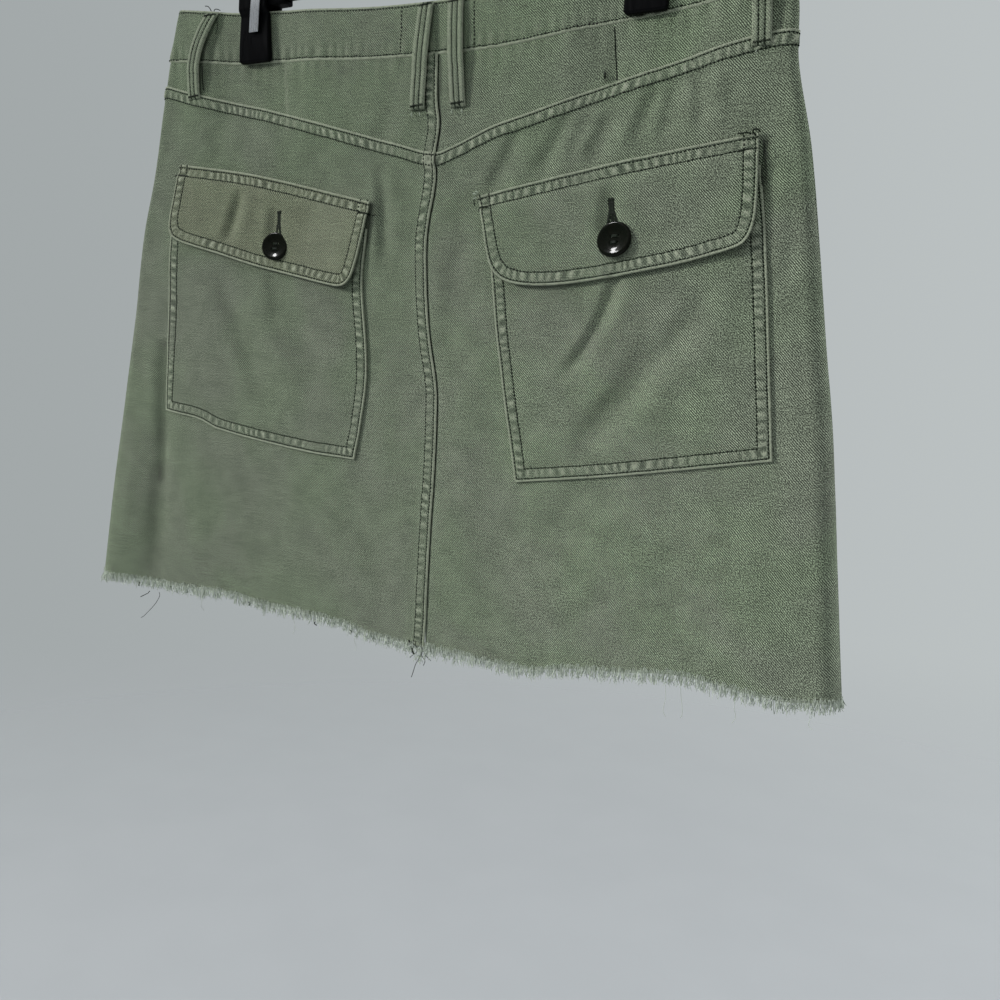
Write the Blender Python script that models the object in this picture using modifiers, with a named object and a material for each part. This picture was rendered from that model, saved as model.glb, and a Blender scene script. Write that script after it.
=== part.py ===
"""Cargo utility skirt held by a clip hanger.

A short A-line skirt of washed cotton twill: waistband with belt loops, V-shaped back yoke, two
patch pockets with buttoned flaps, a raw frayed hem, and a plain front with a lapped opening. Two
spring clips of a moulded hanger pinch the waistband, so the skirt hangs as a flattened tube.

The garment's own frame has X to the side, -Y out of the back, +Z up, and its zero at the waist
seam at the centre back. The hanger's hook carries it: the world origin is the hook's inside top.
Tables and sizes of the garment are in millimetres and become metres when a mesh is made.
"""

import math
from collections import namedtuple

import bmesh
import bpy
from mathutils import Matrix, Vector

MM = 0.001
GAP = 0.3

# Where the garment hangs under the hook
WAIST_DROP = 150.0

# Cloth
PANEL = 1.2
BAND = 2.4
FLAP = 2.0
LOOP = 1.8
FRAY = 1.0
BAND_HEIGHT = 29.0
BAND_FLARE = 3.5
BAND_FLARE_AT = 200.0
FRONT_DROP = 3.0
DROP_LEVEL = 150.0
DROP_FADE = 40.0
SIDE_TRIM = 0.22
BAND_TRIM = 0.4
POCKET_GAP = 0.5

# The tube: how far each layer reaches flat to either side of the middle, half the distance
# between the layers' middles, the radius of the rolled side edges, how far the left edge stands
# out of the back, and the depth of the fold line beside it
Section = namedtuple("Section", "z left right gap roll_left roll_right lean valley")
SECTIONS = (
    Section(46, 193.5, 184.0, 4.0, 3.3, 3.3, 0.0, 0.0),
    Section(10, 203.0, 191.5, 4.8, 3.7, 3.7, 0.0, 0.0),
    Section(-20, 209.0, 193.5, 5.6, 4.2, 4.2, 0.0, 0.0),
    Section(-60, 215.0, 201.5, 7.0, 5.6, 5.6, 0.0, 0.0),
    Section(-100, 224.0, 207.0, 8.4, 7.0, 7.0, 0.0, 0.0),
    Section(-150, 229.0, 213.5, 9.5, 8.4, 8.2, 1.0, 0.0),
    Section(-200, 234.5, 220.5, 10.5, 9.8, 9.2, 3.0, 0.0),
    Section(-230, 237.5, 223.8, 11.0, 10.6, 9.6, 4.6, 0.4),
    Section(-260, 241.0, 227.0, 11.6, 11.4, 10.0, 6.0, 3.4),
    Section(-350, 250.0, 237.0, 13.0, 14.0, 11.0, 9.0, 4.0),
)
HALF_HEM = 262.0
YOKE_ROWS = 2
BACK_ROWS = 12
EDGE_BLEND = 36.0
VALLEY_IN = 29.0
VALLEY_WIDTH = 7.0
FLAT_COLUMNS = 15
TURN_COLUMNS = 6

# Edges of the cut pieces, across the garment
Row = namedtuple("Row", "x z")
WAIST_SEAM = (
    Row(-205, 11.5), Row(-150, 6.0), Row(-115, 4.6), Row(-50, 0.0), Row(0, -1.2),
    Row(40, -0.6), Row(100, 5.6), Row(150, 10.0), Row(195, 14.5),
)
YOKE_SEAM = (
    Row(-209, -3.0), Row(-179, -11.0), Row(-117, -25.0), Row(-24, -49.5), Row(0, -55.0),
    Row(14, -51.0), Row(36, -42.5), Row(61, -36.0), Row(105, -24.0), Row(151, -13.0),
    Row(185, -6.5), Row(197, -6.0),
)
HEM = (
    Row(-262, -334.0), Row(-190, -336.0), Row(-147, -334.5), Row(-119, -337.0),
    Row(-56, -339.0), Row(-31, -343.5), Row(42, -345.0), Row(76, -345.5), Row(100, -340.5),
    Row(130, -337.0), Row(164, -332.5), Row(220, -336.0), Row(248, -331.5),
)
FRAY_REACH = 8.0
CENTRE_SEAM = (
    Row(-1.5, 0), Row(-0.5, -26), Row(1.5, -39), Row(0.0, -56), Row(1.0, -71), Row(-3.0, -100),
    Row(-2.4, -122), Row(1.0, -155), Row(8.0, -195), Row(7.0, -290), Row(6.0, -350),
)

# Patch pockets: the four edges of each, from the mouth's ends down, in points along them
Patch = namedtuple("Patch", "top bottom left right")
POCKETS = {
    "left": Patch(
        top=(Row(-197.0, -70), Row(-43.5, -97)),
        bottom=(Row(-205, -215), Row(-174, -219), Row(-157, -224.5), Row(-88, -233), Row(-48, -235)),
        left=(Row(-197.0, -70), Row(-200.5, -104), Row(-202.0, -153), Row(-205, -215)),
        right=(Row(-43.5, -97), Row(-46, -128), Row(-40.5, -178), Row(-43.7, -212), Row(-48, -235)),
    ),
    "right": Patch(
        top=(Row(37.0, -95), Row(185.5, -69)),
        bottom=(Row(62, -238), Row(118, -229.5), Row(204, -213.5)),
        left=(Row(37.0, -95), Row(41, -125), Row(46.6, -162), Row(62, -238)),
        right=(Row(185.5, -69), Row(191, -102), Row(201, -187), Row(204, -213.5)),
    ),
}
FLAPS = {
    "left": Patch(
        top=(Row(-192.5, -54), Row(-131, -62.5), Row(-41.5, -81.5)),
        bottom=(Row(-194.5, -98.5), Row(-176, -107.5), Row(-125, -119.5), Row(-72, -130), Row(-56.5, -126.5)),
        left=(Row(-192.5, -54), Row(-197.5, -80), Row(-194.5, -98.5)),
        right=(Row(-41.5, -81.5), Row(-48, -106), Row(-56.5, -126.5)),
    ),
    "right": Patch(
        top=(Row(29.5, -80), Row(107, -65.5), Row(183.5, -54)),
        bottom=(Row(41.5, -122), Row(57, -129), Row(112, -122), Row(166, -109.5), Row(181, -101.5)),
        left=(Row(29.5, -80), Row(33.5, -100), Row(41.5, -122)),
        right=(Row(183.5, -54), Row(186, -80), Row(181, -101.5)),
    ),
}
FLAP_ROWS = (0.0, 0.1, 0.22, 0.42, 0.62, 0.82, 1.0)
FLAP_SEWN = 0.08
FLAP_CLEARS = 0.22
FLAP_LIFT = 1.6

# Belt loops: top and foot of each on the cloth, and how far its middle is pushed sideways
Loop = namedtuple("Loop", "layer top foot bow")
LOOPS = {
    "back_left": Loop("back", Row(-9.0, 27.0), Row(-12.7, -31), 0.0),
    "back_right": Loop("back", Row(10.0, 27.0), Row(14.0, -31), 0.0),
    "side_left": Loop("back", Row(-168.0, 37.5), Row(-181.5, -14), -5.0),
    "side_right": Loop("back", Row(174.5, 41.5), Row(181.0, -13), 1.5),
    "front_left": Loop("front", Row(-68.0, 27.0), Row(-68.0, -18), 0.0),
    "front_right": Loop("front", Row(70.0, 28.5), Row(70.0, -17), 0.0),
}
LOOP_WIDTH = 9.8
LOOP_STANDOFF = 2.2
LOOP_FULLNESS = 0.7
LOOP_OFF_BAND = 7.0

# Front opening
FLY_DEPTH = 135.0
FLY_BELOW = 1.0
FLY_LEFT = -14.0
FLY_RIGHT = 24.0
LAP_END = 21.0
LAP_START = -9.0
LAP_RAMP = 34.0

# Buttons: disc with a raised rim and four thread holes
BUTTON_DIAMETER = 19.0
BUTTON_THICK = 3.6
BUTTON_RIM = 2.2
BUTTON_DISH = 0.9
BUTTON_SLOPE = 1.2
BUTTON_ROUND = 0.8
BUTTON_UNDER = 1.1
BUTTON_FOOT = 3.0
BUTTON_CLEAR = 0.65
BUTTON_DOWN = 0.62
BUTTON_HOLE = 1.9
BUTTON_HOLE_PITCH = 3.4
BUTTONS = {"left": Row(-108.0, -106.5), "right": Row(114.8, -104.0)}
WAIST_BUTTON = Row(8.0, 13.0)

# Hanger, in its own level: zero at the height of the waist seam
CLIP_AT = (-133.0, 120.6)
CLIP_WIDTH = 24.4
CLIP_TAPER = 0.2
PINCH_HALF = 15.0
PINCH_FADE = 34.0
PINCH_FOOT = -2.0
PINCH_FOOT_FADE = 60.0
HANGER_TILT = 0.8
JAW_FOOT = 6.8
JAW_HEAD = 60.0
JAW_THICK = 3.4
JAW_BULGE = 1.0
JAW_BULGE_AT = 16.0
JAW_ROUND = 1.0
JAW_STEP = 6.0
BAR_LENGTH = 293.0
BAR_HEIGHT = 10.0
BAR_THICK = 4.0
BAR_FOOT = 42.0
BAR_ROUND = 0.8
CARRIER_OUTER = 12.0
CARRIER_INNER = 22.0
CARRIER_FOOT = 39.6
CARRIER_HEAD = 56.4
CARRIER_HALF = 5.0
CARRIER_ROUND = 1.0
SPRING_WIDTH = 7.4
SPRING_THICK = 0.8
SPRING_FOOT = 21.0
SPRING_LEAN = 0.12
SPRING_RISE = 3.5
BOSS_WIDTH = 26.0
BOSS_THICK = 11.0
BOSS_HEIGHT = 20.0
BOSS_BELOW = 1.0
BOSS_ROUND = 2.0
HOOK_ROD = 3.5
HOOK_INSIDE = 20.0
HOOK_SOCKET = 14.0
SOCKET_CLEAR = 0.4
HOOK_FROM = math.radians(-58)
HOOK_TO = math.radians(202)
NECK_STRAIGHT = 22.0
NECK_POINTS = 5
HOOK_POINTS = 22

# Finishes: linear base colour, roughness, metallic
Finish = namedtuple("Finish", "colour roughness metallic")
TWILL = Finish((0.135, 0.185, 0.115), 0.92, 0.0)
TWILL_FADED = Finish((0.185, 0.215, 0.135), 0.92, 0.0)
FRAYED = Finish((0.36, 0.42, 0.31), 0.95, 0.0)
HORN = Finish((0.012, 0.011, 0.008), 0.22, 0.0)
MOULDED = Finish((0.008, 0.008, 0.009), 0.38, 0.0)
STEEL = Finish((0.42, 0.44, 0.46), 0.32, 1.0)


# ---------------------------------------------------------------- curves and blends


def smooth(t):
    """0 before 0, 1 after 1, level at both."""
    t = min(1.0, max(0.0, t))
    return t * t * t * (t * (6 * t - 15) + 10)


def hermite(p0, p1, slope0, slope1, width, t):
    """Cubic from p0 to p1 over width, at fraction t, with the slopes given at its ends."""
    t2, t3 = t * t, t * t * t
    return (
        (2 * t3 - 3 * t2 + 1) * p0
        + (t3 - 2 * t2 + t) * width * slope0
        + (3 * t2 - 2 * t3) * p1
        + (t3 - t2) * width * slope1
    )


def through(keys, values, key):
    """Smooth curve through values at rising keys, level past the first and the last."""
    if key <= keys[0]:
        return values[0]
    if key >= keys[-1]:
        return values[-1]
    last = len(keys) - 1
    i = max(k for k in range(last) if keys[k] <= key)

    def slope(k):
        lo, hi = max(0, k - 1), min(last, k + 1)
        return (values[hi] - values[lo]) / (keys[hi] - keys[lo])

    width = keys[i + 1] - keys[i]
    return hermite(values[i], values[i + 1], slope(i), slope(i + 1), width, (key - keys[i]) / width)


def across(rows, x):
    """Height of an edge at a place across the garment."""
    return through([row.x for row in rows], [row.z for row in rows], x)


def centre_line(z):
    """Sideways place of the centre back seam at a height."""
    rows = CENTRE_SEAM[::-1]
    return through([row.z for row in rows], [row.x for row in rows], z)


def along(rows, t):
    """Point at a fraction of the way along an edge given by a few points."""
    reach = [0.0]
    for a, b in zip(rows, rows[1:]):
        reach.append(reach[-1] + math.dist(a, b))
    return (
        through(reach, [row.x for row in rows], t * reach[-1]),
        through(reach, [row.z for row in rows], t * reach[-1]),
    )


def section(z):
    """The tube's sizes at a height."""
    rows = SECTIONS[::-1]
    keys = [row.z for row in rows]
    return Section(z, *(through(keys, [row[i] for row in rows], z) for i in range(1, len(Section._fields))))


# ---------------------------------------------------------------- the tube's two layers


def pinch(x, z):
    """1 where a clip presses the layers together, fading to 0 around it."""
    beside = min(abs(x - clip) for clip in CLIP_AT)
    return smooth(1 - (beside - PINCH_HALF) / PINCH_FADE) * smooth(1 - (PINCH_FOOT - z) / PINCH_FOOT_FADE)


def half_gap(x, z, layer):
    """Half the distance between the layers' middles."""
    size = section(z)
    to_left = smooth((-x - size.left + EDGE_BLEND) / EDGE_BLEND)
    to_right = smooth((x - size.right + EDGE_BLEND) / EDGE_BLEND)
    free = size.gap + (size.roll_left - size.gap) * to_left + (size.roll_right - size.gap) * to_right
    if layer == "back":
        free -= size.valley * math.exp(-(((x + size.left - VALLEY_IN) / VALLEY_WIDTH) ** 2))
    held = BAND / 2 + GAP / 2
    return free + (held - free) * pinch(x, z)


def middle(x, z):
    """How far the tube's own middle stands out of the hanging plane; negative is out of the back."""
    size = section(z)
    return -size.lean * smooth((-x - size.left + EDGE_BLEND) / EDGE_BLEND)


def reach_of(z, side):
    """Length of cloth from the middle to the side seam, and the flat part of it."""
    size = section(z)
    flat, roll = (size.left, size.roll_left) if side < 0 else (size.right, size.roll_right)
    return flat + roll * math.pi / 2, flat, roll


def cloth(layer, a, z):
    """Middle of a layer: a is the length of cloth from the middle, signed as X."""
    out = -1 if layer == "back" else 1
    side = -1 if a < 0 else 1
    _, flat, roll = reach_of(z, side)
    if abs(a) <= flat:
        return Vector((a, middle(a, z) + out * half_gap(a, z, layer), z))
    turn = (abs(a) - flat) / roll
    edge = side * flat
    return Vector((edge + side * roll * math.sin(turn), middle(edge, z) + out * roll * math.cos(turn), z))


def outward(layer, a, z):
    """Unit normal of a layer, out of the tube."""
    step = 0.4
    across_cloth = cloth(layer, a + step, z) - cloth(layer, a - step, z)
    down_cloth = cloth(layer, a, z + step) - cloth(layer, a, z - step)
    normal = across_cloth.cross(down_cloth).normalized()
    return normal if layer == "back" else -normal


def off_cloth(layer, a, z, offset):
    return cloth(layer, a, z) + outward(layer, a, z) * offset


# ---------------------------------------------------------------- objects


def material(name, finish):
    made = bpy.data.materials.get(name)
    if made:
        return made
    made = bpy.data.materials.new(name)
    made.use_nodes = True
    shader = made.node_tree.nodes["Principled BSDF"]
    shader.inputs["Base Color"].default_value = (*finish.colour, 1.0)
    shader.inputs["Roughness"].default_value = finish.roughness
    shader.inputs["Metallic"].default_value = finish.metallic
    made.diffuse_color = (*finish.colour, 1.0)
    return made


def add_object(name, mesh, parent, finish, collection):
    mesh.materials.clear()
    mesh.materials.append(material(name, finish))
    made = bpy.data.objects.new(name, mesh)
    collection.objects.link(made)
    made.parent = parent
    return made


def new_empty(name, location, parent, collection):
    made = bpy.data.objects.new(name, None)
    collection.objects.link(made)
    made.parent = parent
    made.location = location
    return made


def add_tool(name, mesh, parent, cutters):
    """A helper solid for a Boolean, left out of the model."""
    made = bpy.data.objects.new(name, mesh)
    cutters.objects.link(made)
    made.parent = parent
    made.hide_render = True
    made.display_type = "WIRE"
    return made


def use_tool(owner, tool, operation):
    made = owner.modifiers.new(tool.name, "BOOLEAN")
    made.operation = operation
    made.object = tool


def grid_mesh(name, rows):
    """Open surface through rows of points in millimetres, its faces turned to the first row's left."""
    mesh = bpy.data.meshes.new(name)
    shape = bmesh.new()
    made = [[shape.verts.new(Vector(point) * MM) for point in row] for row in rows]
    for upper, lower in zip(made, made[1:]):
        for i in range(len(upper) - 1):
            shape.faces.new((upper[i], lower[i], lower[i + 1], upper[i + 1]))
    bmesh.ops.recalc_face_normals(shape, faces=shape.faces)
    shape.to_mesh(mesh)
    shape.free()
    mesh.shade_smooth()
    return mesh


def wall(name, rows, thick, parent, finish, collection):
    """A sheet of cloth: an open surface given its thickness both ways from its middle."""
    made = add_object(name, grid_mesh(name, rows), parent, finish, collection)
    solidify = made.modifiers.new("thickness", "SOLIDIFY")
    solidify.thickness = thick * MM
    solidify.offset = 0.0
    return made


def steps(count):
    return [i / count for i in range(count + 1)]


# ---------------------------------------------------------------- cloth pieces


def side_columns():
    """Places out to the side seam: 0 to 1 over the flat part, 1 to 2 round the rolled edge."""
    return steps(FLAT_COLUMNS) + [1 + t for t in steps(TURN_COLUMNS)[1:]]


def cloth_length(u, z, side, start, trim=SIDE_TRIM):
    """Length of cloth from the middle to a place u of the columns, from start out to the side seam."""
    end, flat, _ = reach_of(z, side)
    if u <= 1:
        return start + (flat - start) * u
    return flat + (end - trim - flat) * (u - 1)


def place_across(a, z, side):
    """Place across the garment of a length of cloth, no further out than the flat part."""
    return side * min(a, reach_of(z, side)[1])


def panel_rows(layer, side, top, bottom, inner, rows):
    """Grid from the inner edge out to the side seam, between a top and a bottom edge.

    top and bottom give a height from a place across, inner gives a place across from a height.
    """
    grid = []
    for v in rows:
        line = []
        for u in side_columns():
            z = 0.0
            for _ in range(4):
                a = cloth_length(u, z, side, side * inner(z) + GAP / 2)
                x = place_across(a, z, side)
                z = top(x) - GAP / 2 + (bottom(x) - top(x) + GAP) * v
            line.append(cloth(layer, side * a, z))
        grid.append(line)
    return grid


def waist_top(x):
    return across(WAIST_SEAM, x) + BAND_HEIGHT + BAND_FLARE * (x / BAND_FLARE_AT) ** 2


def waist(x):
    return across(WAIST_SEAM, x)


def front_waist(x):
    """The front's waist seam, a little lower than the back's between the clips."""
    return waist(x) - FRONT_DROP * (1 - smooth((abs(x) - DROP_LEVEL) / DROP_FADE))


def yoke(x):
    return across(YOKE_SEAM, x)


def hem(x):
    return across(HEM, x)


def fray_end(x):
    return hem(x) - FRAY_REACH


def centre_front(z):
    """Sideways place of the centre front at any height."""
    return 0.0


def front_levels(side):
    """Fractions down the front that meet the heights of the yoke's and the back's rows at the side."""
    edge = side * HALF_HEM
    share = (waist(edge) - yoke(edge)) / (waist(edge) - hem(edge))
    upper = [share * v for v in steps(YOKE_ROWS)]
    return upper + [share + (1 - share) * v for v in steps(BACK_ROWS)[1:]]


def build_panels(parent, collection):
    """Yoke, back and front panels, all meeting at the side seams on the rolled edges, and the fray."""
    for name, side in (("left", -1), ("right", 1)):
        rows = panel_rows("back", side, waist, yoke, centre_line, steps(YOKE_ROWS))
        wall(f"yoke_{name}", rows, PANEL, parent, TWILL, collection)
        rows = panel_rows("back", side, yoke, hem, centre_line, steps(BACK_ROWS))
        wall(f"back_{name}", rows, PANEL, parent, TWILL, collection)
        rows = panel_rows("front", side, front_waist, hem, centre_front, front_levels(side))
        wall(f"front_{name}", rows, PANEL, parent, TWILL, collection)
        for layer, inner in (("back", centre_line), ("front", centre_front)):
            rows = panel_rows(layer, side, hem, fray_end, inner, steps(1))
            wall(f"hem_fray_{layer}_{name}", rows, FRAY, parent, FRAYED, collection)


def band_line(layer, stations, v):
    """One row of a waistband length: stations are (side, column) pairs; v runs from its top down."""
    line = []
    for side, u, start in stations:
        z = waist(0.0)
        for _ in range(4):
            a = cloth_length(u, z, side, start, BAND_TRIM)
            x = place_across(a, z, side)
            foot = (waist if layer == "back" else front_waist)(x) + GAP / 2
            z = foot + (waist_top(x) - waist(x) - GAP) * (1 - v)
        line.append((side * a, z))
    return line


def build_waistband(parent, collection):
    """The band in three lengths joined at the side seams; its left front laps over the right."""
    out = side_columns()
    stations = [(-1, u, 0.0) for u in out[:0:-1]] + [(1, u, 0.0) for u in out]
    rows = [[cloth("back", a, z) for a, z in band_line("back", stations, v)] for v in steps(3)]
    wall("waistband_back", rows, BAND, parent, TWILL, collection)

    for name, side, start in (("left", -1, -LAP_END), ("right", 1, LAP_START)):
        rows = []
        for v in steps(3):
            line = []
            for a, z in band_line("front", [(side, u, start) for u in out], v):
                lap = smooth((a - LAP_START + LAP_RAMP) / LAP_RAMP) if side < 0 else 0.0
                line.append(off_cloth("front", a, z, lap * (BAND + GAP)))
            rows.append(line)
        wall(f"waistband_front_{name}", rows, BAND, parent, TWILL, collection)


def build_fly(parent, collection):
    """Facing behind the front opening, which closes the gap between the two fronts."""
    rows = []
    for v in steps(7):
        line = []
        for t in steps(3):
            x = FLY_LEFT + (FLY_RIGHT - FLY_LEFT) * t
            z = front_waist(x) - FLY_BELOW - FLY_DEPTH * v
            line.append(off_cloth("front", x, z, -(PANEL + GAP)))
        rows.append(line)
    wall("fly_facing", rows, PANEL, parent, TWILL, collection)


def patch_rows(patch, columns, rows, height):
    """Grid over a four-edged piece, each point moved out of the back by height(u, v)."""
    corner = {
        "tl": along(patch.top, 0), "tr": along(patch.top, 1),
        "bl": along(patch.bottom, 0), "br": along(patch.bottom, 1),
    }
    grid = []
    for v in rows:
        left, right = along(patch.left, v), along(patch.right, v)
        line = []
        for u in columns:
            top, bottom = along(patch.top, u), along(patch.bottom, u)
            x, z = (
                (1 - v) * top[i] + v * bottom[i] + (1 - u) * left[i] + u * right[i]
                - (1 - u) * (1 - v) * corner["tl"][i] - u * (1 - v) * corner["tr"][i]
                - (1 - u) * v * corner["bl"][i] - u * v * corner["br"][i]
                for i in (0, 1)
            )
            line.append(off_cloth("back", x, z, height(u, v)))
        grid.append(line)
    return grid


def pocket_height(u, v):
    """How far a pocket's middle lies off the panel's."""
    return PANEL + POCKET_GAP


def flap_height(u, v):
    """The same for a flap: sewn to the panel, then over the pocket's mouth, its corners standing off."""
    low = PANEL / 2 + GAP + FLAP / 2
    over_mouth = smooth((v - FLAP_SEWN) / (FLAP_CLEARS - FLAP_SEWN))
    corner = 1 + abs(2 * u - 1) ** 3
    return low + (PANEL + POCKET_GAP) * over_mouth + FLAP_LIFT * corner * v**3


def build_pockets(parent, collection):
    """Patch pockets on the back panels, and the flaps sewn on above them."""
    for name in ("left", "right"):
        rows = patch_rows(POCKETS[name], steps(10), steps(10), pocket_height)
        wall(f"pocket_{name}", rows, PANEL, parent, TWILL, collection)
        rows = patch_rows(FLAPS[name], steps(11), FLAP_ROWS, flap_height)
        finish = TWILL_FADED if name == "left" else TWILL
        wall(f"flap_{name}", rows, FLAP, parent, finish, collection)


def build_loops(parent, collection):
    """Belt loops: narrow strips sewn down at both ends, standing off between."""
    for name, loop in LOOPS.items():
        rows = []
        for t in steps(8):
            z = loop.top.z + (loop.foot.z - loop.top.z) * t
            middle_x = loop.top.x + (loop.foot.x - loop.top.x) * t + loop.bow * math.sin(math.pi * t)
            under = BAND / 2 if z > waist(middle_x) - LOOP_OFF_BAND else PANEL / 2
            height = under + GAP + LOOP / 2 + LOOP_STANDOFF * math.sin(math.pi * t) ** LOOP_FULLNESS
            rows.append(
                [
                    off_cloth(loop.layer, middle_x + LOOP_WIDTH * (w - 0.5), z, height)
                    for w in steps(2)
                ]
            )
        wall(f"belt_loop_{name}", rows, LOOP, parent, TWILL, collection)


# ---------------------------------------------------------------- buttons


def turned(name, profile, sides, parent, finish, collection):
    """A profile of (radius, height) points in millimetres, from the axis out and back, turned round Z."""
    mesh = bpy.data.meshes.new(name)
    points = [(radius * MM, 0.0, height * MM) for radius, height in profile]
    mesh.from_pydata(points, [(i, i + 1) for i in range(len(points) - 1)], [])
    made = add_object(name, mesh, parent, finish, collection)
    screw = made.modifiers.new("turn", "SCREW")
    screw.steps = screw.render_steps = sides
    screw.use_merge_vertices = True
    screw.merge_threshold = 0.00001
    return made


def thread_holes(name):
    """Four round pins where a button's thread holes are."""
    mesh = bpy.data.meshes.new(name)
    shape = bmesh.new()
    reach = BUTTON_HOLE_PITCH / math.sqrt(2)
    for i in range(4):
        turn = math.pi * (0.25 + i / 2)
        place = Vector((reach * math.cos(turn), reach * math.sin(turn), BUTTON_THICK / 2)) * MM
        bmesh.ops.create_cone(
            shape, cap_ends=True, segments=8, radius1=BUTTON_HOLE / 2 * MM,
            radius2=BUTTON_HOLE / 2 * MM, depth=3 * BUTTON_THICK * MM, matrix=Matrix.Translation(place),
        )
    shape.to_mesh(mesh)
    shape.free()
    return mesh


def build_button(name, layer, place, height, parent, collection, cutters):
    """A four-hole button lying on the cloth, its back at the given height off the cloth's middle."""
    radius = BUTTON_DIAMETER / 2
    rim = radius - BUTTON_RIM
    face = BUTTON_THICK - BUTTON_DISH
    profile = (
        (0.0, face), (rim - BUTTON_SLOPE, face), (rim, BUTTON_THICK),
        (radius - BUTTON_ROUND, BUTTON_THICK), (radius, BUTTON_THICK - BUTTON_ROUND),
        (radius - BUTTON_ROUND, BUTTON_UNDER), (radius - BUTTON_FOOT, 0.0), (0.0, 0.0),
    )
    made = turned(name, profile, 20, parent, HORN, collection)
    made.location = off_cloth(layer, place.x, place.z, height) * MM
    made.rotation_euler = outward(layer, place.x, place.z).to_track_quat("Z", "Y").to_euler()
    tool_name = f"{name}_holes"
    use_tool(made, add_tool(tool_name, thread_holes(tool_name), made, cutters), "DIFFERENCE")
    made.data.shade_smooth()


def build_buttons(parent, collection, cutters):
    height = flap_height(0.5, BUTTON_DOWN) + FLAP / 2 + BUTTON_CLEAR
    for name, place in BUTTONS.items():
        build_button(f"button_{name}", "back", place, height, parent, collection, cutters)
    height = BAND / 2 + GAP + BAND + GAP
    build_button("button_waist", "front", WAIST_BUTTON, height, parent, collection, cutters)


# ---------------------------------------------------------------- hanger


def box_mesh(name, low, high, bevel):
    """A box between two corners in millimetres, its edges rounded."""
    mesh = bpy.data.meshes.new(name)
    shape = bmesh.new()
    bmesh.ops.create_cube(shape, size=1.0)
    size = [high[i] - low[i] for i in range(3)]
    centre = [(high[i] + low[i]) / 2 for i in range(3)]
    bmesh.ops.scale(shape, vec=[s * MM for s in size], verts=shape.verts)
    bmesh.ops.translate(shape, vec=[c * MM for c in centre], verts=shape.verts)
    if bevel:
        bmesh.ops.bevel(
            shape, geom=shape.edges[:], offset=bevel * MM, segments=1, affect="EDGES", profile=0.5
        )
    shape.to_mesh(mesh)
    shape.free()
    return mesh


def add_box(name, low, high, bevel, parent, finish, collection):
    return add_object(name, box_mesh(name, low, high, bevel), parent, finish, collection)


def side_profile(name, outline, width):
    """A plate whose outline is (y, z) points in millimetres, width across along X."""
    curve = bpy.data.curves.new(name, "CURVE")
    curve.dimensions = "2D"
    curve.fill_mode = "BOTH"
    curve.extrude = width / 2 * MM
    line = curve.splines.new("POLY")
    line.points.add(len(outline) - 1)
    for point, (y, z) in zip(line.points, outline):
        point.co = (y * MM, z * MM, 0.0, 1.0)
    line.use_cyclic_u = True
    helper = bpy.data.objects.new(f"{name}_outline", curve)
    bpy.context.scene.collection.objects.link(helper)
    helper.matrix_world = Matrix(((0, 0, 1, 0), (1, 0, 0, 0), (0, 1, 0, 0), (0, 0, 0, 1)))
    bpy.context.view_layer.update()
    mesh = bpy.data.meshes.new_from_object(helper.evaluated_get(bpy.context.evaluated_depsgraph_get()))
    mesh.name = name
    mesh.transform(helper.matrix_world)
    bpy.data.objects.remove(helper)
    shape = bmesh.new()
    shape.from_mesh(mesh)
    bmesh.ops.remove_doubles(shape, verts=shape.verts, dist=0.000001)
    bmesh.ops.recalc_face_normals(shape, faces=shape.faces)
    shape.to_mesh(mesh)
    shape.free()
    return mesh


def grip_face():
    """How far a jaw's gripping face stands from the hanging plane: past one band of the pinched waist."""
    return GAP / 2 + BAND + GAP


def jaw_outline(front):
    """Side view of a clip jaw: flat where it grips the band, then out round the carrier to its thumb end."""
    grip = grip_face()
    inner = CARRIER_HALF + GAP
    outline = (
        (grip, JAW_FOOT + JAW_ROUND), (grip, CARRIER_FOOT - JAW_STEP),
        (inner, CARRIER_FOOT - JAW_ROUND), (inner, JAW_HEAD),
        (inner + JAW_THICK - JAW_ROUND, JAW_HEAD), (inner + JAW_THICK, CARRIER_FOOT),
        (grip + JAW_THICK + JAW_BULGE, JAW_BULGE_AT), (grip + JAW_THICK, JAW_FOOT + JAW_ROUND),
        (grip + JAW_THICK - JAW_ROUND, JAW_FOOT), (grip + JAW_ROUND, JAW_FOOT),
    )
    return [(-y if front else y, z) for y, z in outline]


def build_jaw(name, front, place, collection):
    """A jaw, narrower towards its thumb end."""
    mesh = side_profile(name, jaw_outline(front), CLIP_WIDTH)
    for vert in mesh.vertices:
        vert.co.x *= 1 - CLIP_TAPER * (vert.co.z / MM - JAW_FOOT) / (JAW_HEAD - JAW_FOOT)
    add_object(name, mesh, place, MOULDED, collection)


def spring_path():
    """The spring strip's middle, from one jaw's face over the top to the other's."""
    clear = SPRING_THICK / 2 + GAP
    wide = CARRIER_HALF + GAP + JAW_THICK + clear
    low = grip_face() + JAW_THICK + 1.5 * JAW_BULGE + clear
    half = [(low, SPRING_FOOT), (wide + GAP, CARRIER_FOOT), (wide, JAW_HEAD - SPRING_RISE)]
    for i in range(1, 5):
        angle = math.pi * i / 10
        half.append((wide * math.cos(angle), JAW_HEAD + SPRING_RISE * math.sin(angle)))
    return half + [(0.0, JAW_HEAD + SPRING_RISE)] + [(-y, z) for y, z in half[::-1]]


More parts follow.
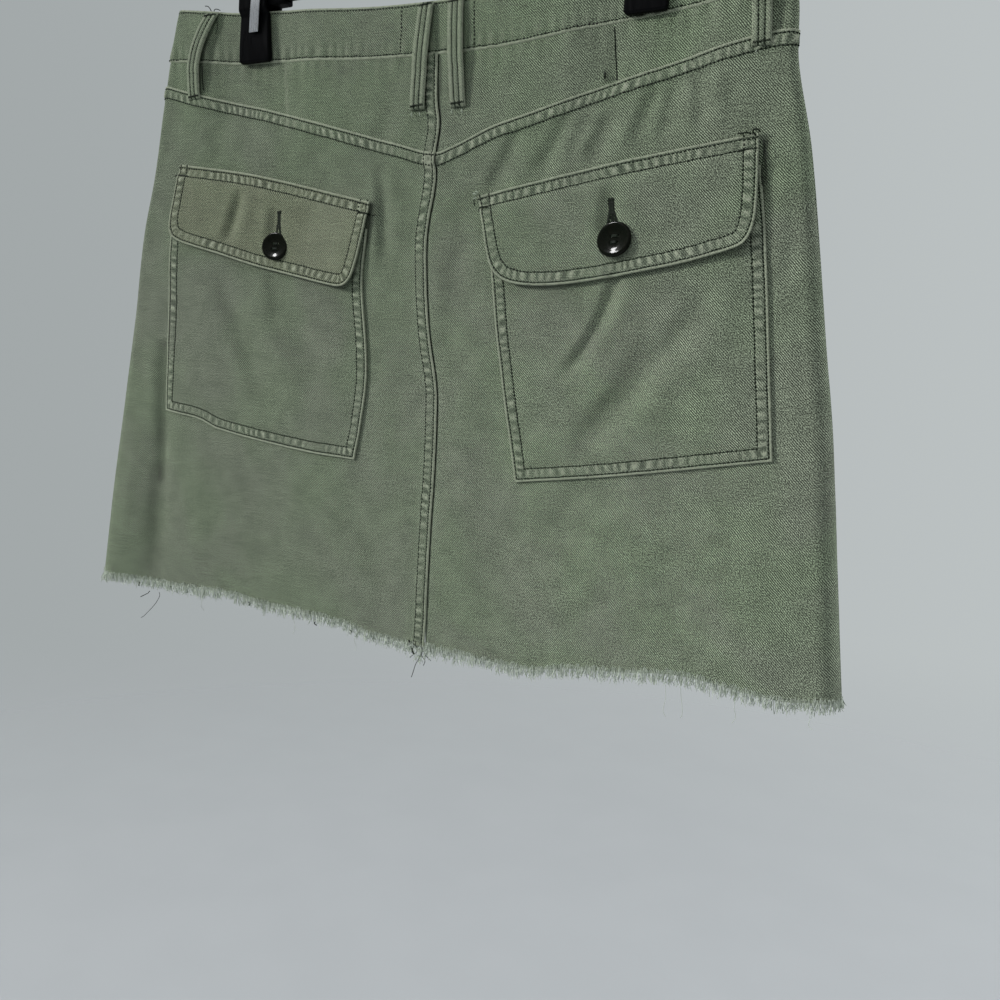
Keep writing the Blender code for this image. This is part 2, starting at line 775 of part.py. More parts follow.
def build_clip(name, x, parent, collection, cutters):
    """One clip: a carrier round the bar, a jaw before and behind it, and the spring over both."""
    place = new_empty(f"clip_{name}", (x * MM, 0.0, 0.0), parent, collection)
    ends = sorted((math.copysign(CARRIER_OUTER, x), -math.copysign(CARRIER_INNER, x)))
    carrier = add_box(
        f"clip_{name}_carrier", (ends[0], -CARRIER_HALF, CARRIER_FOOT), (ends[1], CARRIER_HALF, CARRIER_HEAD),
        CARRIER_ROUND, place, MOULDED, collection,
    )
    slot_name = f"clip_{name}_slot"
    slot = box_mesh(
        slot_name,
        (2 * ends[0], -BAR_THICK / 2 - GAP, BAR_FOOT - GAP),
        (2 * ends[1], BAR_THICK / 2 + GAP, BAR_FOOT + BAR_HEIGHT + GAP),
        0.0,
    )
    use_tool(carrier, add_tool(slot_name, slot, place, cutters), "DIFFERENCE")
    build_jaw(f"clip_{name}_jaw_front", True, place, collection)
    build_jaw(f"clip_{name}_jaw_rear", False, place, collection)
    rows = [
        [(w * SPRING_WIDTH + SPRING_LEAN * (z - SPRING_FOOT), y, z) for w in (-0.5, 0.5)]
        for y, z in spring_path()
    ]
    wall(f"clip_{name}_spring", rows, SPRING_THICK, place, STEEL, collection)


def hook_points():
    """The hook's middle line: up the neck, round past the top, down to its tip on the left."""
    radius = HOOK_INSIDE + HOOK_ROD
    foot = BAR_FOOT + BAR_HEIGHT + BOSS_HEIGHT - HOOK_SOCKET - WAIST_DROP
    neck = foot + NECK_STRAIGHT
    arc = []
    for t in steps(HOOK_POINTS):
        angle = HOOK_FROM + (HOOK_TO - HOOK_FROM) * t
        arc.append((radius * math.cos(angle), radius * math.sin(angle) - HOOK_INSIDE))
    rise = arc[0][1] - neck
    slope = -math.tan(HOOK_FROM)
    points = [(0.0, foot)]
    for t in steps(NECK_POINTS)[:-1]:
        points.append((hermite(0.0, arc[0][0], 0.0, slope, rise, t), neck + rise * t))
    return points + arc


def build_hook(parent, collection):
    """The moulded hook, a round rod with flat ends."""
    curve = bpy.data.curves.new("hanger_hook", "CURVE")
    curve.dimensions = "3D"
    curve.bevel_depth = HOOK_ROD * MM
    curve.bevel_resolution = 2
    curve.use_fill_caps = True
    line = curve.splines.new("POLY")
    points = hook_points()
    line.points.add(len(points) - 1)
    for point, (x, z) in zip(line.points, points):
        point.co = (x * MM, 0.0, z * MM, 1.0)
    curve.materials.append(material("hanger_hook", MOULDED))
    made = bpy.data.objects.new("hanger_hook", curve)
    collection.objects.link(made)
    made.parent = parent


def build_bar(level, collection, cutters):
    """The bar, its boss in the middle, and the socket in the boss that the hook stands in."""
    length, thick = BAR_LENGTH / 2, BAR_THICK / 2
    bar = add_box(
        "hanger_bar", (-length, -thick, BAR_FOOT), (length, thick, BAR_FOOT + BAR_HEIGHT),
        BAR_ROUND, level, MOULDED, collection,
    )
    head = BAR_FOOT + BAR_HEIGHT + BOSS_HEIGHT
    boss = box_mesh(
        "hanger_boss", (-BOSS_WIDTH / 2, -BOSS_THICK / 2, BAR_FOOT - BOSS_BELOW),
        (BOSS_WIDTH / 2, BOSS_THICK / 2, head), BOSS_ROUND,
    )
    use_tool(bar, add_tool("hanger_boss", boss, level, cutters), "UNION")
    socket = bpy.data.meshes.new("hanger_socket")
    radius = (HOOK_ROD + SOCKET_CLEAR) * MM
    shape = bmesh.new()
    bmesh.ops.create_cone(
        shape, cap_ends=True, segments=16, radius1=radius, radius2=radius,
        depth=2 * (HOOK_SOCKET + GAP) * MM, matrix=Matrix.Translation((0.0, 0.0, head * MM)),
    )
    shape.to_mesh(socket)
    shape.free()
    use_tool(bar, add_tool("hanger_socket", socket, level, cutters), "DIFFERENCE")


def build_hanger(hook, level, collection, cutters):
    """The bar, the hook, and the two clips where they grip the waistband."""
    build_bar(level, collection, cutters)
    build_hook(hook, collection)
    shift = WAIST_DROP * math.sin(math.radians(HANGER_TILT))
    for name, x in zip(("left", "right"), CLIP_AT):
        build_clip(name, x - shift, level, collection, cutters)


# ---------------------------------------------------------------- the whole


def main():
    for old in list(bpy.data.objects):
        bpy.data.objects.remove(old)
    collection = bpy.data.collections.new("cargo_skirt_on_hanger")
    cutters = bpy.data.collections.new("cutters")
    bpy.context.scene.collection.children.link(collection)
    bpy.context.scene.collection.children.link(cutters)
    cutters.hide_render = True

    root = new_empty("hook_inside_top", (0.0, 0.0, 0.0), None, collection)
    skirt = new_empty("waist_seam", (0.0, 0.0, -WAIST_DROP * MM), root, collection)
    hook = new_empty("hanger", (0.0, 0.0, 0.0), root, collection)
    hook.rotation_euler = (0.0, -math.radians(HANGER_TILT), 0.0)
    bar = new_empty("hanger_level", (0.0, 0.0, -WAIST_DROP * MM), hook, collection)
    build_panels(skirt, collection)
    build_waistband(skirt, collection)
    build_fly(skirt, collection)
    build_pockets(skirt, collection)
    build_loops(skirt, collection)
    build_buttons(skirt, collection, cutters)
    build_hanger(hook, bar, collection, cutters)


if __name__ == "__main__":
    main()
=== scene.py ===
"""The looks of a cargo utility skirt hung from a clip hanger, made round its packed frame.

The garment's own frame has X to the side, -Y out of the back, +Z up, and its zero at the waist
seam at the centre back. Tables and lengths of the garment are in millimetres; meshes are in
metres, under the hanger's hook.
"""

import math
from collections import namedtuple
from contextlib import contextmanager
from types import SimpleNamespace

import bmesh
import bpy
import numpy as np
from mathutils import Matrix, Vector
from mathutils.bvhtree import BVHTree


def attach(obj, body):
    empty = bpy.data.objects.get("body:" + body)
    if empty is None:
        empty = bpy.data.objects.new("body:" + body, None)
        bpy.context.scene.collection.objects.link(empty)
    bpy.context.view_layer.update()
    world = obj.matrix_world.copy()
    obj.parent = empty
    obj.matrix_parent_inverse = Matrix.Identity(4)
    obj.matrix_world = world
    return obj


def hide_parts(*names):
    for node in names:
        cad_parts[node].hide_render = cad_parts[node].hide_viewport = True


bl_info = {
    "name": "Cargo utility skirt",
    "version": (1, 0, 0),
    "blender": (4, 5, 0),
    "location": "View3D > Sidebar > Skirt",
    "description": "Makes a hung cargo utility skirt and its clip hanger round their packed frame",
    "category": "Object",
}

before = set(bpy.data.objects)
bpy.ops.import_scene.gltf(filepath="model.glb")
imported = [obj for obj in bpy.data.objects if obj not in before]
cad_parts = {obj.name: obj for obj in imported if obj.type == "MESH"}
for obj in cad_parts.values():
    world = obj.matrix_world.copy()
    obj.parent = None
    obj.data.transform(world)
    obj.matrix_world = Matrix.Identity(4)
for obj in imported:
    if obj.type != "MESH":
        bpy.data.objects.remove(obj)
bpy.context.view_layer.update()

MM = 0.001
GAP = 0.3
WAIST_DROP = 150.0
HOOK = "root"

# Cloth, as the packed frame has it
PANEL = 1.2
BAND = 2.4
FLAP = 2.0
LOOP = 1.8
BAND_HEIGHT = 29.0
BAND_FLARE = 3.5
BAND_FLARE_AT = 200.0
FRONT_DROP = 3.0
DROP_LEVEL = 150.0
DROP_FADE = 40.0
SIDES = (("left", -1), ("right", 1))
NO_EDGE = 99.0
POCKET_GAP = 0.5
EDGE_BLEND = 36.0
VALLEY_IN = 32.0
VALLEY_WIDTH = 7.0

# The tube at a few heights: flat reach to the left and right, half gap between the layers, radii of
# the rolled edges, lean of the left side, and the valley beside it
SECTION_FIELDS = ("left", "right", "gap", "roll_left", "roll_right", "lean", "valley")
SECTIONS = np.array((
    (-350, 255.0, 237.0, 13.0, 14.0, 11.0, 4.5, 0.4),
    (-260, 244.3, 227.0, 11.6, 11.4, 10.0, 3.0, 1.2),
    (-230, 240.0, 223.8, 11.0, 10.6, 9.6, 2.3, 0.4),
    (-200, 236.2, 220.5, 10.5, 9.8, 9.2, 1.5, 0.0),
    (-150, 229.6, 213.5, 9.5, 8.4, 8.2, 0.5, 0.0),
    (-100, 224.0, 207.0, 8.4, 7.0, 7.0, 0.0, 0.0),
    (-60, 215.0, 201.5, 7.0, 5.6, 5.6, 0.0, 0.0),
    (-20, 209.0, 193.5, 5.6, 4.2, 4.2, 0.0, 0.0),
    (10, 203.0, 191.5, 4.8, 3.7, 3.7, 0.0, 0.0),
    (46, 193.5, 184.0, 4.0, 3.3, 3.3, 0.0, 0.0),
))
CLIP_AT = (-133.0, 120.6)
PINCH_HALF = 15.0
PINCH_FADE = 34.0
PINCH_FOOT = -2.0
PINCH_FOOT_FADE = 60.0


# ---------------------------------------------------------------- curves and the hanging tube


def smooth(t):
    """0 before 0, 1 after 1, level at both."""
    t = np.clip(t, 0.0, 1.0)
    return t * t * t * (t * (6 * t - 15) + 10)


def bell(distance, width):
    """1 at distance 0, falling to nothing in about twice the width."""
    return np.exp(-((distance / width) ** 2))


def through(keys, values, key):
    """Smooth curve through values at rising keys, level past the first and the last."""
    keys, values = np.asarray(keys, float), np.asarray(values, float)
    key = np.clip(key, keys[0], keys[-1])
    last = len(keys) - 1
    at = np.clip(np.searchsorted(keys, key, side="right") - 1, 0, last - 1)
    low = np.maximum(np.arange(last + 1) - 1, 0)
    high = np.minimum(np.arange(last + 1) + 1, last)
    slope = (values[high] - values[low]) / (keys[high] - keys[low])
    width = keys[at + 1] - keys[at]
    t = (key - keys[at]) / width
    t2, t3 = t * t, t * t * t
    return (
        (2 * t3 - 3 * t2 + 1) * values[at] + (t3 - 2 * t2 + t) * width * slope[at]
        + (3 * t2 - 2 * t3) * values[at + 1] + (t3 - t2) * width * slope[at + 1]
    )


class Edge:
    """A smooth edge of a cut piece, through a few points (x, z)."""

    def __init__(self, *points):
        self.x, self.z = np.array(points, float).T
        self.reach = np.concatenate([[0.0], np.cumsum(np.hypot(np.diff(self.x), np.diff(self.z)))])

    def height(self, x):
        return through(self.x, self.z, x)

    def side(self, z):
        return through(self.z[::-1], self.x[::-1], z)

    def along(self, t):
        reach = np.asarray(t) * self.reach[-1]
        return through(self.reach, self.x, reach), through(self.reach, self.z, reach)


WAIST_SEAM = Edge(
    (-205, 11.5), (-150, 6.0), (-115, 4.6), (-50, 0.0), (0, -1.2), (40, -0.6), (100, 5.6),
    (150, 10.0), (195, 14.5),
)
YOKE_SEAM = Edge(
    (-209, -3.0), (-179, -11.0), (-117, -25.0), (-24, -49.5), (0, -55.0), (14, -51.0),
    (36, -42.5), (61, -36.0), (105, -24.0), (151, -13.0), (185, -6.5), (197, -6.0),
)
HEM = Edge(
    (-266, -335.5), (-190, -336.0), (-147, -334.5), (-119, -337.0), (-56, -339.0), (-31, -343.5),
    (42, -345.0), (76, -345.5), (100, -340.5), (130, -337.0), (164, -332.5), (220, -336.0),
    (248, -331.5),
)
CENTRE_SEAM = Edge(
    (-1.5, 0), (-0.5, -26), (1.5, -39), (0.0, -56), (1.0, -71), (-3.0, -100), (-2.4, -122),
    (1.0, -155), (8.0, -195), (7.0, -290), (6.0, -350),
)

Patch = namedtuple("Patch", "top bottom left right")
POCKETS = {
    "left": Patch(
        Edge((-197.0, -70), (-43.5, -97)),
        Edge((-205, -215), (-174, -219), (-157, -224.5), (-88, -233), (-48, -235)),
        Edge((-197.0, -70), (-200.5, -104), (-202.0, -153), (-205, -215)),
        Edge((-43.5, -97), (-46, -128), (-40.5, -178), (-43.7, -212), (-48, -235)),
    ),
    "right": Patch(
        Edge((37.0, -95), (185.5, -69)),
        Edge((62, -238), (118, -229.5), (204, -213.5)),
        Edge((37.0, -95), (41, -125), (46.6, -162), (62, -238)),
        Edge((185.5, -69), (191, -102), (201, -187), (204, -213.5)),
    ),
}
FLAP_TOPS = {
    "left": Edge((-192.5, -54), (-131, -62.5), (-41.5, -81.5)),
    "right": Edge((29.5, -80), (107, -65.5), (183.5, -54)),
}
# Each flap's free edge, down its left end, along its foot and up its right end; the two places
# where its corners turn
FLAP_EDGES = {
    "left": (
        Edge(
            (-192.5, -54), (-193.8, -64.3), (-196, -76.9), (-197.7, -86.5), (-197.2, -94.5),
            (-194.5, -100), (-188.7, -103.4), (-180, -106), (-156, -111.6), (-124.6, -119.3),
            (-89.9, -126), (-72, -129.4), (-61, -131), (-55.6, -129.8), (-51.6, -125.2),
            (-48.9, -116.5), (-46, -103.7), (-43.4, -93.3), (-41.5, -81.5),
        ), ((-195.4, -98.6), (-55.4, -129.6)),
    ),
    "right": (
        Edge(
            (29.5, -80), (32, -87.5), (34.5, -96.2), (37.3, -107), (40.6, -116.3), (44, -121.4),
            (49.2, -125.5), (57.4, -128.1), (69.6, -129), (84.4, -128.3), (107.2, -125.2),
            (139.7, -119.2), (155.2, -115.9), (167.7, -112.5), (175.5, -110.2), (180.5, -107.9),
            (183.4, -104.4), (184.9, -100.2), (185.7, -95), (185.7, -84), (184.9, -69.8),
            (183.5, -54),
        ), ((45.6, -122.9), (181.2, -107.2)),
    ),
}
FLAP_SEWN = 0.08
FLAP_CLEARS = 0.22
FLAP_LIFT = 1.6

Loop = namedtuple("Loop", "layer top foot bow")
LOOPS = {
    "back_left": Loop("back", (-9.0, 27.0), (-12.7, -31), 0.0),
    "back_right": Loop("back", (10.0, 27.0), (14.0, -31), 0.0),
    "side_left": Loop("back", (-168.0, 37.5), (-181.5, -14), -5.0),
    "side_right": Loop("back", (174.5, 41.5), (181.0, -13), 1.5),
    "front_left": Loop("front", (-68.0, 27.0), (-68.0, -18), 0.0),
    "front_right": Loop("front", (70.0, 28.5), (70.0, -17), 0.0),
}
LOOP_STANDOFF = 2.2
LOOP_FULLNESS = 0.7
LOOP_OFF_BAND = 7.0

FLY_DEPTH = 135.0
FLY_LEFT = -14.0
FLY_RIGHT = 24.0
LAP_END = 21.0
LAP_START = -9.0
LAP_RAMP = 34.0

BUTTON_RADIUS = 9.5
BUTTON_THICK = 3.6
BUTTON_CLEAR = 0.65
BUTTON_DOWN = 0.62
BUTTONS = {"left": (-109.2, -107.6), "right": (114.2, -105.2)}
BUTTON_SUNK = 1.2
# How a button leans back and turns aside; a buttonhole's place beside it, lean, and two half
# widths; how far down it is closed
BUTTON_TURNS = {"left": (-10.0, 14.0), "right": (-10.0, -1.0), "waist": (0.0, 0.0)}
BUTTONHOLES = {"left": (1.4, -0.1, 0.5, 1.5), "right": (-2.4, -2.2, 0.9, 2.3)}
BUTTON_SIZES = {"left": 0.92, "right": 1.0, "waist": 1.0}
BUTTONHOLE_CLOSED = {"left": 0.5, "right": 1.0}
WAIST_BUTTON = (8.0, 13.0)

# Soft creases of the cloth: the points that one follows, its width, and its depth at the middle,
# negative for a trough. Those of the back show; the front and the sides have similar ones.
Crease = namedtuple("Crease", "points width depth")
CREASE_GENTLE = 1.7
CREASE_SHOULDER = 0.25
CREASE_SHOULDER_AT = 2.1
CREASE_FADE = 0.35
UNEVEN_HEIGHT = 0.32
RELIEF_CALM = 0.75
SIDE_CALM_FADE = 10.0
CLIP_CALM_FROM = -22.0
CLIP_CALM_FADE = 20.0
CREASES = {
    "back": (
        Crease(((-208, -150), (-209, -190), (-209, -235), (-211, -275)), 4.6, -1.9),
        Crease(((-210, -250), (-213, -285), (-216, -318), (-218, -352)), 6.0, -1.1),
        Crease(((-112, -80), (-112.5, -94), (-114, -108)), 3.2, -1.6),
        Crease(((109, -72), (109, -90), (107, -108)), 3.8, -2.1),
        Crease(((-234, -200), (-238, -260), (-243, -345)), 9.0, 0.5),
        Crease(((-40, -56), (-35, -82), (-33, -124)), 2.7, -2.1),
        Crease(((-45, -62), (-39, -92), (-36, -130)), 4.5, 0.8),
        Crease(((-139, -67), (-142, -80), (-146, -92), (-153, -109)), 3.2, -2.7),
        Crease(((-134, -70), (-136, -88), (-143, -108)), 4.0, 0.3),
        Crease(((-163, -112), (-146, -148), (-128, -184), (-112, -216)), 5.6, -1.7),
        Crease(((-118, -118), (-111, -142), (-106, -160)), 4.0, -1.1),
        Crease(((-126, -116), (-98, -148), (-82, -184), (-66, -214)), 6.4, -1.5),
        Crease(((-176, -128), (-166, -158), (-150, -200)), 8.0, 0.9),
        Crease(((-134, -128), (-114, -160), (-98, -196)), 6.0, 0.7),
        Crease(((118, -108), (110, -140), (98, -163), (80, -186)), 2.6, -2.6),
        Crease(((124, -118), (117, -142), (104, -168)), 4.5, 0.5),
        Crease(((170, -116), (156, -146), (134, -175), (118, -196), (100, -214)), 4.8, -1.6),
        Crease(((184, -122), (168, -150), (148, -178), (128, -204)), 6.0, 0.6),
        Crease(((142, -146), (126, -174), (106, -204), (92, -226)), 5.2, -2.7),
        Crease(((108, -226), (94, -254), (74, -280)), 7.0, -1.2),
        Crease(((56, -40), (44, -62), (31, -84)), 3.4, -1.7),
        Crease(((84, -34), (73, -54), (61, -74)), 3.4, -1.6),
        Crease(((95, -36), (88, -50), (81, -68)), 3.0, -1.2),
        Crease(((107, -36), (99, -52), (91, -68)), 3.6, -2.0),
        Crease(((130, -22), (123, -42), (116, -62)), 3.2, -1.8),
        Crease(((139, -22), (136, -40), (132, -60)), 3.0, -1.6),
        Crease(((149, -18), (152, -34), (154, -54)), 3.0, -1.5),
        Crease(((166, -18), (168, -34), (170, -50)), 3.4, -0.6),
        Crease(((-66, -256), (-44, -276), (-24, -306), (-20, -322)), 7.0, -1.1),
        Crease(((21, -62), (19, -100), (16, -150), (20, -190)), 5.5, -0.9),
        Crease(((30, -140), (30, -200), (26, -280), (30, -330)), 9.0, 0.8),
        Crease(((198, -44), (205, -78), (205, -112), (200, -136)), 3.6, -1.5),
        Crease(((210, -60), (215, -130), (221, -220), (228, -330)), 8.0, 1.0),
        Crease(((-170, -30), (-166, -42), (-158, -56)), 5.0, -0.9),
        Crease(((-146, -28), (-144, -38), (-138, -52)), 5.0, -0.8),
        Crease(((-92, -34), (-86, -48), (-76, -62)), 5.5, -0.6),
        Crease(((-27, -18), (-33, -34), (-40, -52)), 4.5, -0.9),
        Crease(((-18, -12), (-20, -30), (-18, -46)), 3.5, 0.5),
        Crease(((28, -12), (34, -26), (44, -40)), 5.0, -0.7),
        Crease(((-128, -8), (-124, -60), (-116, -120)), 9.0, 0.6),
        Crease(((103.6, 14), (104.0, -8), (107.0, -32)), 2.2, -1.1),
        Crease(((108.0, 12), (108.6, -8), (111.0, -30)), 2.4, 0.4),
        Crease(((-110, 10), (-114.6, -8), (-116.4, -30)), 2.0, 0.4),
        Crease(((120, -6), (118, -40), (112, -80)), 8.0, 0.5),
        Crease(((60, -246), (52, -290), (50, -340)), 10.0, -0.7),
        Crease(((150, -238), (156, -286), (166, -338)), 11.0, -0.9),
        Crease(((-130, -236), (-126, -284), (-118, -336)), 12.0, -0.8),
        Crease(((-180, -232), (-176, -280), (-182, -336)), 10.0, 0.8),
    ),
    "front": (
        Crease(((-132, -4), (-120, -70), (-96, -150), (-88, -240)), 8.0, -2.9),
        Crease(((-146, -10), (-150, -90), (-164, -190), (-176, -330)), 10.0, -2.5),
        Crease(((-112, -30), (-80, -96), (-40, -140)), 7.0, -1.7),
        Crease(((-200, -30), (-206, -120), (-216, -240), (-224, -340)), 7.0, -2.2),
        Crease(((120, -4), (110, -80), (92, -170), (86, -300)), 9.0, -2.8),
        Crease(((134, -12), (144, -100), (158, -200), (166, -335)), 11.0, -2.4),
        Crease(((100, -26), (66, -90), (30, -132)), 6.0, -1.6),
        Crease(((190, -40), (198, -140), (210, -260), (218, -340)), 7.0, -2.1),
        Crease(((-60, -160), (-52, -230), (-56, -338)), 12.0, 1.5),
        Crease(((50, -170), (44, -240), (50, -340)), 12.0, 1.4),
        Crease(((-30, -150), (-12, -176), (10, -190)), 5.0, -1.3),
        Crease(((40, -196), (20, -220), (0, -230)), 6.0, -1.1),
    ),
}


def section(z):
    """The tube's sizes at a height."""
    heights, *fields = SECTIONS.T
    return SimpleNamespace(**{
        name: through(heights, values, z) for name, values in zip(SECTION_FIELDS, fields)})


def side_sizes(z, side):
    """Flat reach and rolled edge's radius of one side, -1 or 1, at a height."""
    size = section(z)
    return (size.left, size.roll_left) if side < 0 else (size.right, size.roll_right)


def on_flat(a, z):
    """Where lengths of cloth are along X, up to where the tube turns."""
    size = section(z)
    return np.clip(a, -size.left, size.right)


def pinch(x, z):
    """1 where a clip presses the layers together, fading to 0 around it."""
    beside = np.minimum(abs(x - CLIP_AT[0]), abs(x - CLIP_AT[1]))
    under = PINCH_FOOT - z
    return smooth(1 - (beside - PINCH_HALF) / PINCH_FADE) * smooth(1 - under / PINCH_FOOT_FADE)


def cloth(layer, a, z):
    """Middle of a layer: a is the length of cloth from the middle, signed as X."""
    a, z = np.broadcast_arrays(np.asarray(a, float), np.asarray(z, float))
    size = section(z)
    out = -1.0 if layer == "back" else 1.0
    side = np.where(a < 0, -1.0, 1.0)
    flat = np.where(a < 0, size.left, size.right)
    roll = np.where(a < 0, size.roll_left, size.roll_right)
    x = side * np.minimum(abs(a), flat)
    to_left = smooth((-x - size.left + EDGE_BLEND) / EDGE_BLEND)
    to_right = smooth((x - size.right + EDGE_BLEND) / EDGE_BLEND)
    free = size.gap + (size.roll_left - size.gap) * to_left
    free = free + (size.roll_right - size.gap) * to_right
    if layer == "back":
        free = free - size.valley * bell(x + size.left - VALLEY_IN, VALLEY_WIDTH)
    free = free + (BAND / 2 + GAP / 2 - free) * pinch(x, z)
    turn = np.maximum(abs(a) - flat, 0.0) / roll
    rolled = turn > 0
    y = -size.lean * to_left + out * np.where(rolled, roll * np.cos(turn), free)
    return np.stack([x + side * roll * np.sin(turn), y, z], -1)


def unit(vectors):
    return vectors / np.maximum(np.linalg.norm(vectors, axis=-1, keepdims=True), 1e-9)


def outward(layer, a, z, step=0.6):
    """Unit normal of a layer, out of the tube."""
    a, z = np.asarray(a, float), np.asarray(z, float)
    across = cloth(layer, a + step, z) - cloth(layer, a - step, z)
    down = cloth(layer, a, z + step) - cloth(layer, a, z - step)
    normal = unit(np.cross(across, down))
    return normal if layer == "back" else -normal


def nearest_on(line, x, z):
    """Distance from places to a line of points, and the line's length up to the nearest point."""
    line = np.asarray(line, float)
    best = np.full(np.shape(x), 1e9)
    where = np.zeros(np.shape(x))
    reach = 0.0
    for (x0, z0), (x1, z1) in zip(line, line[1:]):
        dx, dz = x1 - x0, z1 - z0
        length = math.hypot(dx, dz)
        if length < 1e-9:
            continue
        t = np.clip(((x - x0) * dx + (z - z0) * dz) / length**2, 0.0, 1.0)
        far = np.hypot(x - x0 - t * dx, z - z0 - t * dz)
        nearer = far < best
        best = np.where(nearer, far, best)
        where = np.where(nearer, reach + t * length, where)
        reach += length
    return best, where


def crease_height(crease, x, z):
    """A trough or ridge with one gentler side and low shoulders, fading out at both ends."""
    edge = Edge(*crease.points)
    line = np.stack(edge.along(np.linspace(0, 1, 4 * len(crease.points))), -1)
    far, where = nearest_on(line, x, z)
    t = where / edge.reach[-1]
    fade = smooth(t / CREASE_FADE) * smooth((1 - t) / CREASE_FADE)
    aside = x - np.interp(-np.asarray(z), -line[:, 1], line[:, 0])
    wide = crease.width * np.where(aside * crease.depth < 0, CREASE_GENTLE, 1.0)
    shoulder = bell(far - CREASE_SHOULDER_AT * wide, wide)
    return crease.depth * fade * (bell(far, wide) - CREASE_SHOULDER * shoulder)


# Slow waves of hanging cloth: how fast along X and Z, phase, size
UNEVEN_WAVES = (
    (0.071, 0.043, 0.4, 1.0), (-0.052, 0.089, 1.9, 0.9), (0.117, 0.021, 3.3, 0.7),
    (0.034, -0.131, 5.1, 0.7), (0.171, 0.147, 2.2, 0.45), (-0.213, 0.096, 0.9, 0.4),
    (0.302, -0.171, 4.0, 0.25), (0.093, 0.337, 1.2, 0.25),
)
UNEVEN_SUM = 3.0


def uneven(x, z, shift):
    """Small slow unevenness of hanging cloth, from -1 to 1."""
    return sum(
        size * np.sin(fx * x + fz * z + turn + shift) for fx, fz, turn, size in UNEVEN_WAVES
    ) / UNEVEN_SUM


def relief(layer, x, z):
    """How far the creases and the unevenness move a layer out of its plain form."""
    x = np.asarray(x, float)
    size = section(z)
    inside = np.where(x < 0, size.left + x, size.right - x)
    made = UNEVEN_HEIGHT * uneven(x, z, 0.0 if layer == "back" else 2.0)
    for crease in CREASES[layer]:
        made = made + crease_height(crease, x, z)
    at_clip = pinch(x, z) * smooth((z - CLIP_CALM_FROM) / CLIP_CALM_FADE)
    calm = 1 - RELIEF_CALM * (1 - smooth(inside / SIDE_CALM_FADE))
    return made * calm * (1 - RELIEF_CALM * at_clip)


GATHER_PITCH = 5.3


def gather(run, shift):
    """The washboard that a twin row of stitches draws the cloth into, from -1 to 1."""
    drift = 1.5 * np.sin(run / 9.1 + shift) + 1.0 * np.sin(run / 3.7 + 2 * shift)
    drift = drift + 1.3 * np.sin(run / 23.0)
    wave = np.sin(2 * np.pi * run / GATHER_PITCH + drift)
    size = 0.76 + 0.22 * np.sin(run / 13.0 + 3 * shift) + 0.18 * np.sin(run / 5.9 + shift)
    return np.sign(wave) * abs(wave) ** 0.8 * size


# ---------------------------------------------------------------- settings


def length(name, text, default):
    """A length that can be changed, in metres."""
    return bpy.props.FloatProperty(name=name, description=text, default=default, unit="LENGTH")


def tint(name, text, *default):
    """A colour that can be changed, linear."""
    return bpy.props.FloatVectorProperty(
        name=name, description=text, subtype="COLOR", size=3, default=default)


class SkirtSizes(bpy.types.PropertyGroup):
    """Lengths that a maker would change, without changing the pieces' places."""

    cloth_half: length("Half cloth", "Half the thickness of one layer of twill", 0.00052)
    fold_rise: length(
        "Fold rise", "How far a felled edge stands out of the piece under it", 0.00095)
    row_in: length("First row", "First row of stitches, in from a folded edge", 0.0017)
    row_deep: length("Second row", "Second row of stitches, in from a folded edge", 0.0072)
    gather_height: length("Gather", "Height of the small puckers between two rows", 0.00038)
    stitch_pitch: length("Stitch pitch", "From one stitch to the next", 0.0021)
    stitch_length: length("Stitch length", "What shows of one stitch", 0.00155)
    thread: length("Thread", "Thickness of the sewing thread", 0.00100)
    fray_spacing: length("Fray spacing", "From one frayed yarn to the next", 0.00017)
    fray_length: length("Fray length", "Length of a frayed yarn", 0.0098)
    fray_yarn: length("Fray yarn", "Radius of a frayed yarn", 0.00015)


class SkirtColours(bpy.types.PropertyGroup):
    """Colours of the finishes, linear."""

    cloth: tint("Twill", "Washed sage cotton twill", 0.165, 0.217, 0.137)
    cloth_deep: tint("Twill, greyed", "Where the dye has greyed", 0.174, 0.202, 0.150)
    faded: tint("Twill, faded", "The flap cut from a yellower length", 0.196, 0.229, 0.148)
    faded_deep: tint("Twill, faded, greyed", "Greyed dye on that length", 0.186, 0.208, 0.140)
    worn: tint("Worn edge", "Dye rubbed off a fold", 0.360, 0.400, 0.300)
    # Painted shade: darkens the cloth along rows of stitches and in the troughs of gathers
    painted_seam_shade: tint("Seam shade", "Dye kept along a row and in a pucker", 0.026, 0.040, 0.026)
    thread: tint("Thread", "Dark green sewing thread", 0.0045, 0.0085, 0.0042)
    thread_pale: tint("Thread, paler", "Where the thread has worn", 0.016, 0.026, 0.014)
    fray: tint("Fray", "Pale ends of the yarns", 0.600, 0.665, 0.580)
    horn: tint("Button", "Dark horn-like buttons", 0.0032, 0.0046, 0.0022)
    horn_cloud: tint("Button, cloud", "Brown clouds of the horn", 0.0060, 0.0064, 0.0036)
    moulded: tint("Moulded black", "Hanger and clips", 0.0030, 0.0032, 0.0036)
    moulded_rubbed: tint("Moulded, rubbed", "Where it is handled", 0.006, 0.0063, 0.0072)
    steel: tint("Steel", "Spring strips", 0.70, 0.73, 0.75)
    steel_dull: tint("Steel, dull", "Spots on the strips", 0.42, 0.42, 0.43)
    floor: tint("Floor", "Plain pale floor", 0.50, 0.53, 0.55)
    floor_dull: tint("Floor, dull", "Faint grain of the floor", 0.40, 0.43, 0.45)
    surround: tint("Surround", "Plain pale room", 0.500, 0.535, 0.540)
    # Painted shade on the backdrop: the room that the camera sees is darker towards its left
    surround_painted_shade: tint("Surround, dim", "The room's darker side", 0.360, 0.390, 0.395)
    light_low: tint("Light, low", "Light of the room from below", 0.13, 0.135, 0.14)
    light_high: tint("Light, high", "Light of the room from above", 0.34, 0.35, 0.36)


def sizes():
    return bpy.context.scene.skirt_sizes


def in_mm(name):
    return getattr(sizes(), name) / MM


